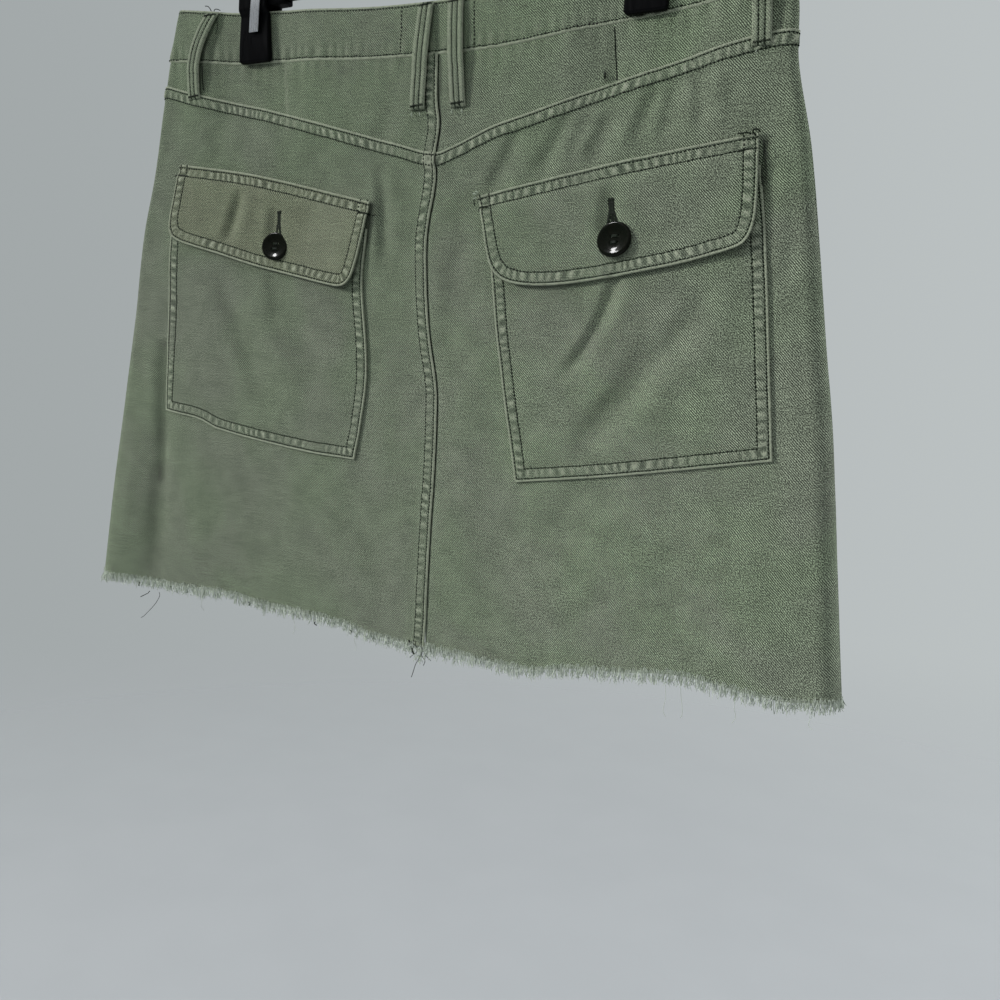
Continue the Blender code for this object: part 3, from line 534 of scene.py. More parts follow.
def twin_rows():
    """How far in from a folded edge its two rows of stitches are."""
    return in_mm("row_in"), in_mm("row_deep")


def colour(name):
    return (*getattr(bpy.context.scene.skirt_colours, name), 1.0)


# ---------------------------------------------------------------- materials


def put(tree, kind, inputs=None, **settings):
    """A new node, its settings and its inputs: a socket is linked, anything else is its value."""
    node = tree.nodes.new(kind)
    for key, value in settings.items():
        setattr(node, key, value)
    for key, value in (inputs or {}).items():
        if isinstance(value, bpy.types.NodeSocket):
            tree.links.new(value, node.inputs[key])
        else:
            node.inputs[key].default_value = value
    return node


def feed(tree, kind, inputs=None, **settings):
    """The first output of a new node."""
    return put(tree, kind, inputs, **settings).outputs[0]


def calc(tree, operation, *values):
    return feed(tree, "ShaderNodeMath", dict(enumerate(values)), operation=operation)


def times(tree, *values):
    """Product of two or more values."""
    made = values[0]
    for value in values[1:]:
        made = calc(tree, "MULTIPLY", made, value)
    return made


def plus(tree, a, b):
    return calc(tree, "ADD", a, b)


def ramp(tree, value, low, high, out_low=0.0, out_high=1.0):
    """Value moved from one range to another, smoothly, kept inside it."""
    inputs = {0: value, 1: low, 2: high, 3: out_low, 4: out_high}
    return feed(tree, "ShaderNodeMapRange", inputs, interpolation_type="SMOOTHSTEP")


def blend_colour(tree, factor, a, b, mode="MIX"):
    inputs = {0: factor, 6: a, 7: b}
    return put(tree, "ShaderNodeMix", inputs, data_type="RGBA", blend_type=mode).outputs[2]


def noise(tree, vector, scale, detail, roughness=0.5, distortion=0.0):
    inputs = {"Vector": vector, "Scale": scale, "Detail": detail, "Roughness": roughness,
              "Distortion": distortion}
    return feed(tree, "ShaderNodeTexNoise", inputs)


def stretched(tree, vector, scale):
    return feed(tree, "ShaderNodeMapping", {"Vector": vector, "Scale": scale})


def split_up(tree, vector):
    return put(tree, "ShaderNodeSeparateXYZ", {"Vector": vector}).outputs


def field(tree, name):
    """A number kept in the mesh's points."""
    return put(tree, "ShaderNodeAttribute", attribute_name=name).outputs["Fac"]


def scaled(tree, vector, scale):
    return feed(tree, "ShaderNodeVectorMath", {0: vector, "Scale": scale}, operation="SCALE")


def bump(tree, shader, strength, distance, height):
    """Small relief, too fine for the mesh."""
    inputs = {"Strength": strength, "Distance": distance, "Height": height}
    tree.links.new(feed(tree, "ShaderNodeBump", inputs), shader["Normal"])


def new_tree(kind, name, inputs, outputs):
    """A node tree with named sockets, the sockets of its input node and of its output node."""
    tree = bpy.data.node_groups.new(name, kind)
    for label, socket_kind, *default in inputs:
        socket_kind = f"NodeSocket{socket_kind}"
        socket = tree.interface.new_socket(label, in_out="INPUT", socket_type=socket_kind)
        if default:
            socket.default_value = default[0]
    for label, socket_kind in outputs:
        socket_kind = f"NodeSocket{socket_kind}"
        tree.interface.new_socket(label, in_out="OUTPUT", socket_type=socket_kind)
    return tree, tree.nodes.new("NodeGroupInput").outputs, tree.nodes.new("NodeGroupOutput").inputs


def weave_group():
    """Diagonal wales of a twill, its single yarns, and slubs along weft and warp; places in mm."""
    tree, given, made = new_tree(
        "ShaderNodeTree", "Twill weave",
        (("Place", "Vector"), ("Wale", "Float", 1.0), ("Crisp", "Float", 1.0)),
        (("Height", "Float"), ("Yarn", "Float")))
    place, crisp = given["Place"], given["Crisp"]
    split = split_up(tree, place)
    across = times(tree, given["Wale"], math.sqrt(2.0))
    turns = calc(tree, "DIVIDE", plus(tree, split["X"], split["Y"]), across)
    turns = plus(tree, turns, times(tree, noise(tree, place, 0.12, 2.0), 1.2))
    patchy = ramp(tree, noise(tree, place, 0.05, 2.0), 0.36, 0.64, 0.25, 1.0)
    wale = times(tree, calc(tree, "SINE", times(tree, turns, 2 * math.pi)), 0.5, patchy, crisp)
    grain = ramp(tree, noise(tree, place, 1.5, 1.0, 0.6), 0.3, 0.7, -0.5, 0.5)
    grain = times(tree, grain, crisp)
    weft = noise(tree, stretched(tree, place, (0.07, 0.8, 1.0)), 1.0, 2.0)
    warp = noise(tree, stretched(tree, place, (0.9, 0.08, 1.0)), 1.0, 2.0)
    slubs = plus(tree, times(tree, calc(tree, "SUBTRACT", weft, 0.5), 1.2),
                 times(tree, calc(tree, "SUBTRACT", warp, 0.5), 0.6))

    def mixed(of_wale, of_grain, of_slubs):
        body = plus(tree, times(tree, wale, of_wale), times(tree, grain, of_grain))
        return plus(tree, body, times(tree, slubs, of_slubs))

    tree.links.new(mixed(0.8, 0.7, 0.6), made["Height"])
    tree.links.new(mixed(1.38, 0.90, 0.55), made["Yarn"])
    return tree


def wear_group():
    """Dye rubbed off along a sewn edge: the fold itself and the crests of the gathers behind it."""
    tree, given, made = new_tree(
        "ShaderNodeTree", "Seam wear and painted shade",
        (("Edge", "Float", NO_EDGE), ("Crest", "Float", 0.0), ("Place", "Vector")),
        (("Worn", "Float"), ("PaintedShade", "Float")))
    edge, crest = given["Edge"], given["Crest"]
    broken = noise(tree, given["Place"], 0.55, 3.0, 0.65)
    fold = ramp(tree, edge, 0.85, 1.5, 0.85, 0.0)
    fold = times(tree, fold, ramp(tree, broken, 0.3, 0.6, 0.35, 1.0))
    inside = times(tree, ramp(tree, edge, 1.9, 2.8), ramp(tree, edge, 5.6, 8.2, 1.0, 0.0))
    speckle = ramp(tree, broken, 0.35, 0.65, 0.15, 1.1)
    crests = times(tree, ramp(tree, crest, 0.05, 0.75), times(tree, inside, speckle))
    worn = calc(tree, "MAXIMUM", fold, plus(tree, crests, times(tree, inside, 0.08)))
    tree.links.new(worn, made["Worn"])
    # Painted shade: dark along both rows of stitches and in the troughs of the gathers
    first, second = [
        times(tree, ramp(tree, edge, row - 0.5, row - 0.1),
              ramp(tree, edge, row + 0.1, row + 0.5, 1.0, 0.0))
        for row in twin_rows()]
    valley = times(tree, ramp(tree, crest, 0.0, -0.7), times(tree, inside, 0.75))
    deep = calc(tree, "MAXIMUM", calc(tree, "MAXIMUM", first, second), valley)
    tree.links.new(deep, made["PaintedShade"])
    return tree


def wash_group():
    """Uneven dye of a washed garment: broad patches and small mottling."""
    tree, given, made = new_tree(
        "ShaderNodeTree", "Uneven dye", (("Place", "Vector"),),
        (("Broad", "Float"), ("Mottle", "Float")))
    broad = noise(tree, given["Place"], 0.017, 2.0, 0.5, 0.4)
    small = noise(tree, given["Place"], 0.075, 3.0, 0.6)
    tree.links.new(ramp(tree, broad, 0.32, 0.68), made["Broad"])
    tree.links.new(ramp(tree, small, 0.3, 0.7), made["Mottle"])
    return tree


def shared(name, build):
    """A node tree by its name, built when it is first needed."""
    return bpy.data.node_groups.get(name) or build()


def use_group(tree, name, build, **inputs):
    return put(tree, "ShaderNodeGroup", inputs, node_tree=shared(name, build)).outputs


def start_material(name, **constants):
    """A material with only its Principled shader, whose constant inputs are set on its sockets."""
    made = bpy.data.materials.new(name)
    made.use_nodes = True
    shader = made.node_tree.nodes["Principled BSDF"]
    for key, value in constants.items():
        shader.inputs[key.replace("_", " ").title().replace("Ior", "IOR")].default_value = value
    return made, made.node_tree, shader.inputs


def paint(tree, shader, factor, a, b, rough):
    """Links a mix of two named colours, and a roughness."""
    tree.links.new(blend_colour(tree, factor, colour(a), colour(b)), shader["Base Color"])
    tree.links.new(rough, shader["Roughness"])


def twill(name, plain, deep):
    """Washed cotton twill, paler on its folds and on the crests of its gathers."""
    made, tree, shader = start_material(
        name, specular_ior_level=0.22, sheen_weight=0.06, sheen_roughness=0.5)
    place = scaled(tree, feed(tree, "ShaderNodeUVMap", uv_map="cloth"), 1 / MM)
    split, rub = split_up(tree, place), field(tree, "rub")
    across, height = split["X"], split["Y"]
    crisp = ramp(tree, across, -80.0, 150.0, 1.60, 2.30)
    weave = use_group(tree, "Twill weave", weave_group, Place=place, Crisp=crisp)
    wash = use_group(tree, "Uneven dye", wash_group, Place=place)
    edge, crest = field(tree, "edge"), field(tree, "crest")
    seam = use_group(tree, "Seam wear and painted shade", wear_group, Edge=edge, Crest=crest, Place=place)
    greyed = ramp(tree, height, -120.0, 0.0, 0.4, 0.0)
    greyed = calc(tree, "MULTIPLY_ADD", wash["Broad"], 0.6, greyed)
    dye = blend_colour(tree, greyed, colour(plain), colour(deep))
    yarn = calc(tree, "MAXIMUM", calc(tree, "MULTIPLY_ADD", weave["Yarn"], 0.95, 1.01), 0.20)
    # shade: random mottling, darker towards the top, painted light that is darker on the left and
    # lighter on the right, painted shade where rub is negative, and the weave's yarns
    shade = times(
        tree, calc(tree, "MULTIPLY_ADD", wash["Mottle"], 0.18, 0.91),
        ramp(tree, height, -240.0, -10.0, 1.02, 0.86),
        ramp(tree, across, -120.0, 160.0, 0.90, 1.06),
        plus(tree, 1.0, calc(tree, "MINIMUM", rub, 0.0)), yarn)
    shades = feed(tree, "ShaderNodeCombineColor", {0: shade, 1: shade, 2: shade})
    dye = blend_colour(tree, 1.0, dye, shades, "MULTIPLY")
    dye = blend_colour(tree, calc(tree, "MAXIMUM", seam["Worn"], rub), dye, colour("worn"))
    # Painted shade along the rows of stitches and in the troughs of the gathers
    dye = blend_colour(tree, times(tree, seam["PaintedShade"], 0.72), dye, colour("painted_seam_shade"))
    tree.links.new(dye, shader["Base Color"])
    tree.links.new(calc(tree, "MULTIPLY_ADD", weave["Yarn"], 0.08, 0.88), shader["Roughness"])
    bump(tree, shader, 0.6, 0.00028, weave["Height"])
    return made


def object_place(tree):
    """Place on the object, in millimetres."""
    return scaled(tree, put(tree, "ShaderNodeTexCoord").outputs["Object"], 1 / MM)


def thread_material():
    """Twisted sewing thread, a little glossy."""
    made, tree, shader = start_material("sewing_thread", specular_ior_level=0.15)
    place = object_place(tree)
    lot = noise(tree, place, 0.35, 2.0)
    paint(tree, shader, ramp(tree, lot, 0.3, 0.75, 0.0, 0.55), "thread", "thread_pale",
          ramp(tree, lot, 0.3, 0.7, 0.5, 0.7))
    bump(tree, shader, 0.4, 0.0001, noise(tree, place, 4.0, 1.0))
    return made


def fray_material():
    """Frayed cotton yarn: pale, some of it still dyed."""
    made, tree, shader = start_material("frayed_yarn", specular_ior_level=0.2)
    shade = field(tree, "shade")
    patch = ramp(tree, noise(tree, object_place(tree), 0.12, 2.0), 0.35, 0.7)
    dyed = calc(tree, "MAXIMUM", ramp(tree, shade, 0.78, 1.0, 0.0, 0.8), times(tree, patch, 0.25))
    paint(tree, shader, dyed, "fray", "cloth", ramp(tree, shade, 0.0, 1.0, 0.85, 0.95))
    return made


def horn_material():
    """Dark horn: faint brown clouds under a polished surface."""
    made, tree, shader = start_material(
        "dark_horn", coat_weight=0.20, coat_roughness=0.05, specular_ior_level=0.04)
    place = object_place(tree)
    cloud = ramp(tree, noise(tree, place, 0.16, 3.0, 0.55, 1.5), 0.42, 0.72)
    rub = noise(tree, place, 0.9, 3.0)
    paint(tree, shader, cloud, "horn", "horn_cloud", ramp(tree, rub, 0.3, 0.7, 0.22, 0.36))
    bump(tree, shader, 0.15, 0.0002, rub)
    return made


def moulded_material():
    """Black moulded plastic with a faint grain, rubbed where it is handled."""
    made, tree, shader = start_material("moulded_black", specular_ior_level=0.05)
    place = object_place(tree)
    rub = noise(tree, stretched(tree, place, (0.30, 0.30, 0.05)), 1.0, 3.0, 0.6)
    paint(tree, shader, ramp(tree, rub, 0.5, 0.8, 0.0, 0.5), "moulded", "moulded_rubbed",
          ramp(tree, rub, 0.3, 0.75, 0.26, 0.46))
    bump(tree, shader, 0.12, 0.0001, noise(tree, place, 2.2, 2.0))
    return made


def steel_material():
    """Rolled spring steel: fine lines along the strip."""
    made, tree, shader = start_material("spring_steel", metallic=1.0)
    place = object_place(tree)
    lines = noise(tree, stretched(tree, place, (5.0, 0.6, 0.06)), 1.0, 3.0)
    spots = ramp(tree, noise(tree, place, 0.4, 3.0), 0.45, 0.8, 0.0, 0.6)
    paint(tree, shader, spots, "steel", "steel_dull", ramp(tree, lines, 0.3, 0.7, 0.24, 0.42))
    bump(tree, shader, 0.25, 0.00005, lines)
    return made


FINISHES = {
    "twill": lambda: twill("twill", "cloth", "cloth_deep"),
    "twill_faded": lambda: twill("twill_faded", "faded", "faded_deep"),
    "thread": thread_material,
    "fray": fray_material,
    "horn": horn_material,
    "moulded": moulded_material,
    "steel": steel_material,
}
MADE = {}


def finish_of(name):
    if name not in MADE:
        MADE[name] = FINISHES[name]()
    return MADE[name]


# ---------------------------------------------------------------- meshes


def garment_to_world(points):
    points = np.array(points, float)
    points[..., 2] -= WAIST_DROP
    return points * MM


def add_piece(name, mesh, finish, *replaces):
    """A finished piece: its mesh in place, its material and slot, and the body it rides on."""
    mesh.materials.clear()
    mesh.materials.append(finish_of(finish))
    made = bpy.data.objects.new(name, mesh)
    bpy.context.scene.collection.objects.link(made)
    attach(made, HOOK)
    if replaces:
        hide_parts(*replaces)
    return made


@contextmanager
def reshaped(mesh):
    """A mesh's shape to work on, put back at the end."""
    shape = bmesh.new()
    shape.from_mesh(mesh)
    yield shape
    shape.to_mesh(mesh)
    shape.free()


def shell_mesh(name, mid, normal, over, under, cut=None, fields=None):
    """Closed sheet between an outer and an inner surface, faces outwards.

    mid and normal are grids in millimetres; over and under are what lies outside and inside them;
    cut is the place of each point on the flat cloth, fields its numbers for the material.
    """
    grid = rows, columns = mid.shape[:2]
    count = rows * columns
    outer = mid + normal * np.broadcast_to(over, grid)[..., None]
    inner = mid - normal * np.broadcast_to(under, grid)[..., None]
    index = np.arange(count).reshape(grid)
    a, b, c, d = index[:-1, :-1], index[1:, :-1], index[1:, 1:], index[:-1, 1:]
    top = np.stack([a, b, c, d], -1).reshape(-1, 4)
    ring = np.concatenate([index[0, :-1], index[:-1, -1], index[-1, :0:-1], index[:0:-1, 0]])
    after = np.roll(ring, -1)
    rim = np.stack([ring, after, after + count, ring + count], -1)
    faces = np.concatenate([top, top[:, ::-1] + count, rim])
    i, j = rows // 2, columns // 2
    facing = np.cross(mid[i + 1, j] - mid[i, j], mid[i, j + 1] - mid[i, j])
    if facing @ normal[i, j] < 0:
        faces = faces[:, ::-1]
    points = garment_to_world(np.concatenate([outer.reshape(-1, 3), inner.reshape(-1, 3)]))
    mesh = bpy.data.meshes.new(name)
    mesh.vertices.add(len(points))
    mesh.vertices.foreach_set("co", points.astype(np.float32).ravel())
    mesh.loops.add(faces.size)
    mesh.loops.foreach_set("vertex_index", faces.astype(np.int32).ravel())
    mesh.polygons.add(len(faces))
    mesh.polygons.foreach_set("loop_start", np.arange(0, faces.size, 4, dtype=np.int32))
    mesh.update(calc_edges=True)
    if cut is not None:
        flat = np.stack([np.broadcast_to(part, grid).ravel() for part in cut], -1) * MM
        flat = np.concatenate([flat, flat])
        layer = mesh.uv_layers.new(name="cloth")
        layer.data.foreach_set("uv", flat[faces.ravel()].astype(np.float32).ravel())
    for key, values in (fields or {}).items():
        store = mesh.attributes.new(key, "FLOAT", "POINT")
        values = np.broadcast_to(values, grid).ravel()
        store.data.foreach_set("value", np.concatenate([values, values]).astype(np.float32))
    mesh.shade_smooth()
    return mesh


# Places of a grid's lines near a sewn edge, and near a plain one
EDGE_STEPS = (
    0.0, 0.14, 0.4, 0.8, 1.2, 1.6, 2.0, 2.6, 3.4, 4.3, 5.2, 6.1, 6.7, 7.2, 7.7, 8.5, 9.7, 11.2)
PLAIN_STEPS = (0.0, 0.14, 0.4, 0.8, 1.6)


def stations(first, step, last, nominal):
    """Places along a length: fixed near both ends, shared out between them."""
    first, last = np.asarray(first), np.asarray(last)
    count = max(2, round((nominal - first[-1] - last[-1]) / step))
    ends = first[-1] + last[-1]
    fixed = np.concatenate([first, np.full(count - 1, first[-1]), ends - last[::-1]])
    share = np.concatenate([np.zeros(len(first)), np.arange(1, count) / count, np.ones(len(last))])
    return fixed, share, ends


def shares(first, step, last, reach):
    """Stations along a length, as parts of it."""
    fixed, share, ends = stations(first, step, last, reach)
    return (fixed + share * (reach - ends)) / reach


def rounded(distance, thick, least=0.2):
    """Thickness that falls off in a round at a rim, to the least part of itself."""
    t = np.clip(distance / thick, 0.0, 1.0)
    return thick * np.maximum(np.sqrt(1 - (1 - t) ** 2), least)


def waist(x):
    return WAIST_SEAM.height(x)


def waist_top(x):
    return waist(x) + BAND_HEIGHT + BAND_FLARE * (x / BAND_FLARE_AT) ** 2


def front_waist(x):
    return waist(x) - FRONT_DROP * (1 - smooth((abs(x) - DROP_LEVEL) / DROP_FADE))


BAND_FOOT = {"back": waist, "front": front_waist}
CENTRE = {"back": CENTRE_SEAM.side, "front": lambda z: 0.0 * z}


def band_top(layer, x):
    return BAND_FOOT[layer](x) + waist_top(x) - waist(x)


GRID_PASSES = 5


def side_grid(side, top, bottom, inner, rows, columns, turn, short=0.0, first=0.0):
    """Lengths of cloth and heights of a grid from an inner edge to round the tube's side.

    top and bottom are heights over x, inner a place over z. The tube's reach changes with the
    height, so the places settle in a few passes. The grid ends short of the quarter turn.
    """
    column_fixed, column_share, column_ends = columns
    row_fixed, row_share, row_ends = rows
    count = len(column_fixed)
    around = np.concatenate([np.zeros(count), turn])
    z = np.full((len(row_fixed), count + len(turn)), first)
    for _ in range(GRID_PASSES):
        flat, roll = side_sizes(z, side)
        start = side * inner(z)
        free = (flat - start - column_ends)[:, :count]
        a = flat + (roll * np.pi / 2 - short) * around
        a[:, :count] = start[:, :count] + (column_fixed + column_share * free)
        x = side * np.minimum(a, flat)
        high, low = top(x), bottom(x)
        z = high - row_fixed[:, None] - row_share[:, None] * (high - low - row_ends)
    return side * a, z


# A felled edge: where it starts to fall and over how much, how deep and wide its rows are sunk, and
# how much of its puckers goes on past the second row
FALL_FROM, FALL = -0.6, 2.6
FIRST_SUNK, FIRST_WIDE = 0.40, 0.50
SECOND_SUNK, SECOND_WIDE = 0.42, 0.75
DRAG, DRAG_REACH = 0.35, 4.0
# The piece under it: how deep and wide it is sunk, and how far it is drawn
UNDER_SUNK, UNDER_WIDE, UNDER_REACH = 0.45, 1.6, 3.2


def seam_profile(distance, run, shift, rise=None):
    """Height of a felled edge: the fold, two sunk rows of stitches, and the gathers between."""
    rise = in_mm("fold_rise") if rise is None else rise
    first, second = twin_rows()
    within, past = distance - first, distance - second
    over = rise * (1 - smooth((past - FALL_FROM) / FALL))
    sunk = FIRST_SUNK * bell(within, FIRST_WIDE) + SECOND_SUNK * bell(past, SECOND_WIDE)
    between = smooth((within - 0.3) / 1.4) * smooth((second + 1.0 - distance) / 2.0)
    drag = DRAG * smooth(past) * np.exp(-np.maximum(past, 0) / DRAG_REACH)
    crest = gather(run + 0.30 * distance * np.sin(run / 17.0 + shift), shift)
    wave = in_mm("gather_height") * crest * (between + drag)
    return over - sunk + wave, crest * (between + drag)


def beside_seam(distance, run, shift):
    """The piece under a felled edge: a little sunk, and drawn by the same gathers."""
    near = np.exp(-np.maximum(distance, 0) / UNDER_REACH)
    drawn = 0.5 * in_mm("gather_height") * gather(run, shift) * near
    return -UNDER_SUNK * bell(distance, UNDER_WIDE) + drawn


def sheet_facts(mid):
    """Declares a sheet from the lengths and the area of its middle."""
    across = np.linalg.norm(np.diff(mid, axis=1), axis=-1).sum(1).max() * MM
    down = np.linalg.norm(np.diff(mid, axis=0), axis=-1).sum(0).max() * MM
    slant = mid[:-1, 1:]
    one = np.cross(mid[1:, :-1] - mid[:-1, :-1], slant - mid[:-1, :-1])
    two = np.cross(mid[1:, :-1] - mid[1:, 1:], slant - mid[1:, 1:])
    area = (np.linalg.norm(one, axis=-1).sum() + np.linalg.norm(two, axis=-1).sum()) / 2 * MM * MM
    area = min(area, across * down)


def add_sheet(name, node, mid, normal, thick, cut, fields, under=None,
              finish="twill"):
    """A piece of cloth: its shell, its material and slot, and what it is held by."""
    under = thick if under is None else under
    mesh = shell_mesh(name, mid, normal, thick, under, cut, fields)
    made = add_piece(name, mesh, finish, node)
    sheet_facts(mid)


# ---------------------------------------------------------------- body of the skirt

# Distance between a grid's lines, and the steps round a rolled side
FIELD_STEP = 1.9
FRONT_STEP = 3.0
ROLL_TURN = np.arange(1, 13) / 12
SEAM_OVER = 0.35
SEAM_SLOPE = 0.965
HEM_WORN = 3.0
WAIST_PUCKER = 0.36
WAIST_PUCKER_REACH = 7.0
# Puckers paler on their crests as wear, with painted shade in their troughs
PUCKER_WEAR_AND_SHADE = 0.55
BAND_SHIFT = 4.4


def finish_panel(kind, name, layer, side, a, z, yoke_edge, gathered):
    """Gives a body panel its form, seams and creases, and adds it as a piece."""
    x = on_flat(a, z)
    from_centre = side * (a - CENTRE[layer](z))
    lift = relief(layer, x, z)
    edge, crest = np.full(a.shape, NO_EDGE), np.zeros(a.shape)
    if side < 0:
        rise, wave = seam_profile(from_centre, z, 0.7)
        lift, edge, crest = lift + rise, np.minimum(edge, from_centre), wave
    else:
        lift = lift + beside_seam(from_centre, z, 0.7)
    if yoke_edge is not None:
        below = (yoke_edge(x) - z) * SEAM_SLOPE
        rise, wave = seam_profile(below, a, 2.1)
        nearer = below < edge
        lift = lift + rise
        edge, crest = np.where(nearer, below, edge), np.where(nearer, wave, crest)
    # rub: dye rubbed off where positive; painted shade where negative, in troughs, beside the flaps
    # and in the puckers' troughs
    rub = rubbed(RUBS_AND_SHADE + FLAP_GAP_PAINTED_SHADE, x, z) if layer == "back" else 0.0
    if gathered:
        puckers = waist_gathers(layer, x, z)
        lift, rub = lift + puckers, rub + PUCKER_WEAR_AND_SHADE * puckers
    if kind != "yoke":
        rub = rub + 0.22 * smooth((HEM_WORN - (z - HEM.height(x))) / HEM_WORN)
    normal = outward(layer, a, z)
    mid = cloth(layer, a, z) + normal * lift[..., None]
    thick = rounded(np.minimum(from_centre + 0.05, rim_distance(a, z)), in_mm("cloth_half"))
    add_sheet(f"{kind}_panel_{name}", f"{kind}_{name}", mid, normal, thick, (a, z),
              {"edge": edge, "crest": crest, "rub": rub})


# Lines on the back, points, half width, amount: positive amounts are dye rubbed off; negative ones
# are painted shade in troughs, the left valley, the dents beside the buttons and the centre seam's
# lap, and one is a dark knot of thread
RUBS_AND_SHADE = (
    (((-3.0, -56.5), (-3.2, -62.5)), 3.0, 0.75),
    (((-108.6, -30.5), (-108.0, -34.0)), 2.6, 0.26),
    (((106.6, -23.0), (107.2, -28.0)), 2.6, 0.22),
    (((-112.6, 3.0), (-111.4, -10.0), (-109.8, -25.0)), 1.3, 0.22),
    (((99.6, -18.5), (100.4, -22.5)), 1.5, -0.5),
    (((-113.5, -86.0), (-114.0, -98.0)), 3.0, -0.12),
    (((-26.0, -62.0), (-27.5, -86.0)), 3.0, -0.08),
    (((105.5, -78.0), (105.0, -98.0)), 3.0, -0.12),
    (((-208, -170), (-210, -215), (-211, -262)), 3.8, -0.26),
    (((-214, -256), (-215, -300), (-217, -340)), 7.0, -0.22),
    (((-66.0, -88.0), (-74.0, -114.0)), 18.0, 0.13),
    (((128, -174), (112, -196), (96, -220)), 5.0, -0.10),
    (((104, -38), (96, -60)), 5.0, -0.10),
    (((131, -22), (122, -50)), 6.0, -0.08),
    (((1.0, -3.0), (0.9, -14.0), (0.6, -26.0), (2.2, -39.0), (1.2, -53.0)), 0.9, -0.55),
)
# Painted shade beside the ends of the flaps, which stand off
FLAP_GAP_PAINTED_SHADE = (
    (((186.9, -57), (187.8, -84), (187.2, -106)), 1.5, -0.78),
    (((-41.0, -84), (-43.4, -100), (-48.2, -119), (-52.0, -130)), 1.4, -0.72),
)


def rubbed(lines, x, z):
    """How much dye is rubbed off, negative where it stays dark."""
    total = np.zeros(np.shape(x))
    for points, width, amount in lines:
        total = total + amount * np.exp(-((nearest_on(points, x, z)[0] / width) ** 4))
    return total


def running(a, z, axis):
    """Length along the columns (0) or the rows (1) of a grid, up to each place."""
    steps = np.hypot(np.diff(a, axis=axis), np.diff(z, axis=axis))
    return np.insert(np.cumsum(steps, axis=axis), 0, 0.0, axis=axis)


def rim_distance(a, z):
    """Distance of each place of a grid from the grid's own rim, along its rows and columns."""
    across, down = running(a, z, 1), running(a, z, 0)
    beside = np.minimum(across, across[:, -1:] - across)
    return np.minimum(beside, np.minimum(down, down[-1:] - down))


def waist_gathers(layer, x, z):
    """Short upright puckers under the waistband."""
    below = np.maximum(BAND_FOOT[layer](x) - z, 0.0)
    fade = np.exp(-below / WAIST_PUCKER_REACH) * smooth(below / 1.2)
    return WAIST_PUCKER * gather(x * 0.62, BAND_SHIFT) * fade


def build_pair(kind, layer, top, bottom, top_steps, step, tall, wide, yoke_edge=None):
    """A left and a right panel, with a felled seam on the left one along the centre."""
    for name, side in SIDES:
        rows = stations(top_steps, step, PLAIN_STEPS, tall)
        columns = stations(EDGE_STEPS if side < 0 else PLAIN_STEPS, step, (0.0,), wide)
        a, z = side_grid(side, top, bottom, lambda h: CENTRE[layer](h) + SEAM_OVER, rows, columns,
                         ROLL_TURN)
        finish_panel(kind, name, layer, side, a, z, yoke_edge, yoke_edge is None)


def back_edge(x):
    """The backs' top edge, which laps over the yokes."""
    return YOKE_SEAM.height(x) + 0.3


def build_yokes():
    build_pair("yoke", "back", lambda x: waist(x) + 0.8, lambda x: YOKE_SEAM.height(x) - 0.7,
               PLAIN_STEPS, FIELD_STEP, 50.0, 200.0)


def build_backs():
    build_pair("back", "back", back_edge, HEM.height,
               EDGE_STEPS, FIELD_STEP, 290.0, 225.0, back_edge)


def build_fronts():
    build_pair("front", "front", lambda x: front_waist(x) + 0.8, HEM.height,
               PLAIN_STEPS, FRONT_STEP, 330.0, 225.0)


def build_fly():
    """Facing behind the front opening."""
    x = np.linspace(FLY_LEFT, FLY_RIGHT, 22)[None, :]
    down = np.linspace(0, 1, 60)[:, None]
    x, z = np.broadcast_arrays(x, front_waist(x) - 1.0 - FLY_DEPTH * down)
    normal = outward("front", x, z)
    mid = cloth("front", x, z) + normal * (relief("front", x, z) - PANEL - GAP)[..., None]
    thick = rounded(rim_distance(x, z), in_mm("cloth_half"))
    add_sheet("fly_facing_strip", "fly_facing", mid, normal, thick, (x, z),
              {"edge": NO_EDGE, "crest": 0.0})


# ---------------------------------------------------------------- waistband


BAND_ROW = 1.9
BAND_START = 15.0
BAND_SHORT = 0.25
BAND_TURN = np.arange(1, 11) / 10
BAND_RELIEF = 0.45
BAND_PUCKER = 0.56
BAND_WEAR_AND_SHADE = 0.26


def band_grid(layer, side, start, columns, rows):
    """A length of the waistband from its start, out along its own side, to the tube's side."""
    return side_grid(
        side, lambda x: band_top(layer, x), lambda x: BAND_FOOT[layer](x) - BAND_SHORT,
        lambda h: side * start + 0 * h, rows, columns, BAND_TURN, BAND_SHORT, BAND_START)


def finish_band(name, node, layer, a, z, lap=0.0):
    """Gives a length of the waistband its rows and puckers, and adds it as a piece."""
    x = on_flat(a, z)
    above, below = z - BAND_FOOT[layer](x), band_top(layer, x) - z
    crest = gather(x * 0.8, BAND_SHIFT)
    pucker = BAND_PUCKER * crest * np.exp(-np.maximum(above - 1.5, 0) / 8.0) * smooth(above / 1.5)
    lift = BAND_RELIEF * relief(layer, x, z) + pucker
    lift = lift - 0.45 * bell(above - BAND_ROW, 0.55) - 0.35 * bell(below - BAND_ROW, 0.55)
    lift = lift + 0.12 * gather(x, 1.3) * bell(below - 4.0, 2.5) + lap
    normal = outward(layer, a, z)
    mid = cloth(layer, a, z) + normal * lift[..., None]
    edge = np.minimum(0.7 * above + 0.3, below)
    edge = np.where(edge < 1.75, edge, NO_EDGE)
    # Pale crests of the puckers as wear, with painted shade in their troughs
    rub = BAND_WEAR_AND_SHADE * crest * bell(above - 5.0, 4.0)
    add_sheet(name, node, mid, normal, rounded(rim_distance(a, z), BAND / 2), (a, z),
              {"edge": edge, "crest": 0.0, "rub": rub})


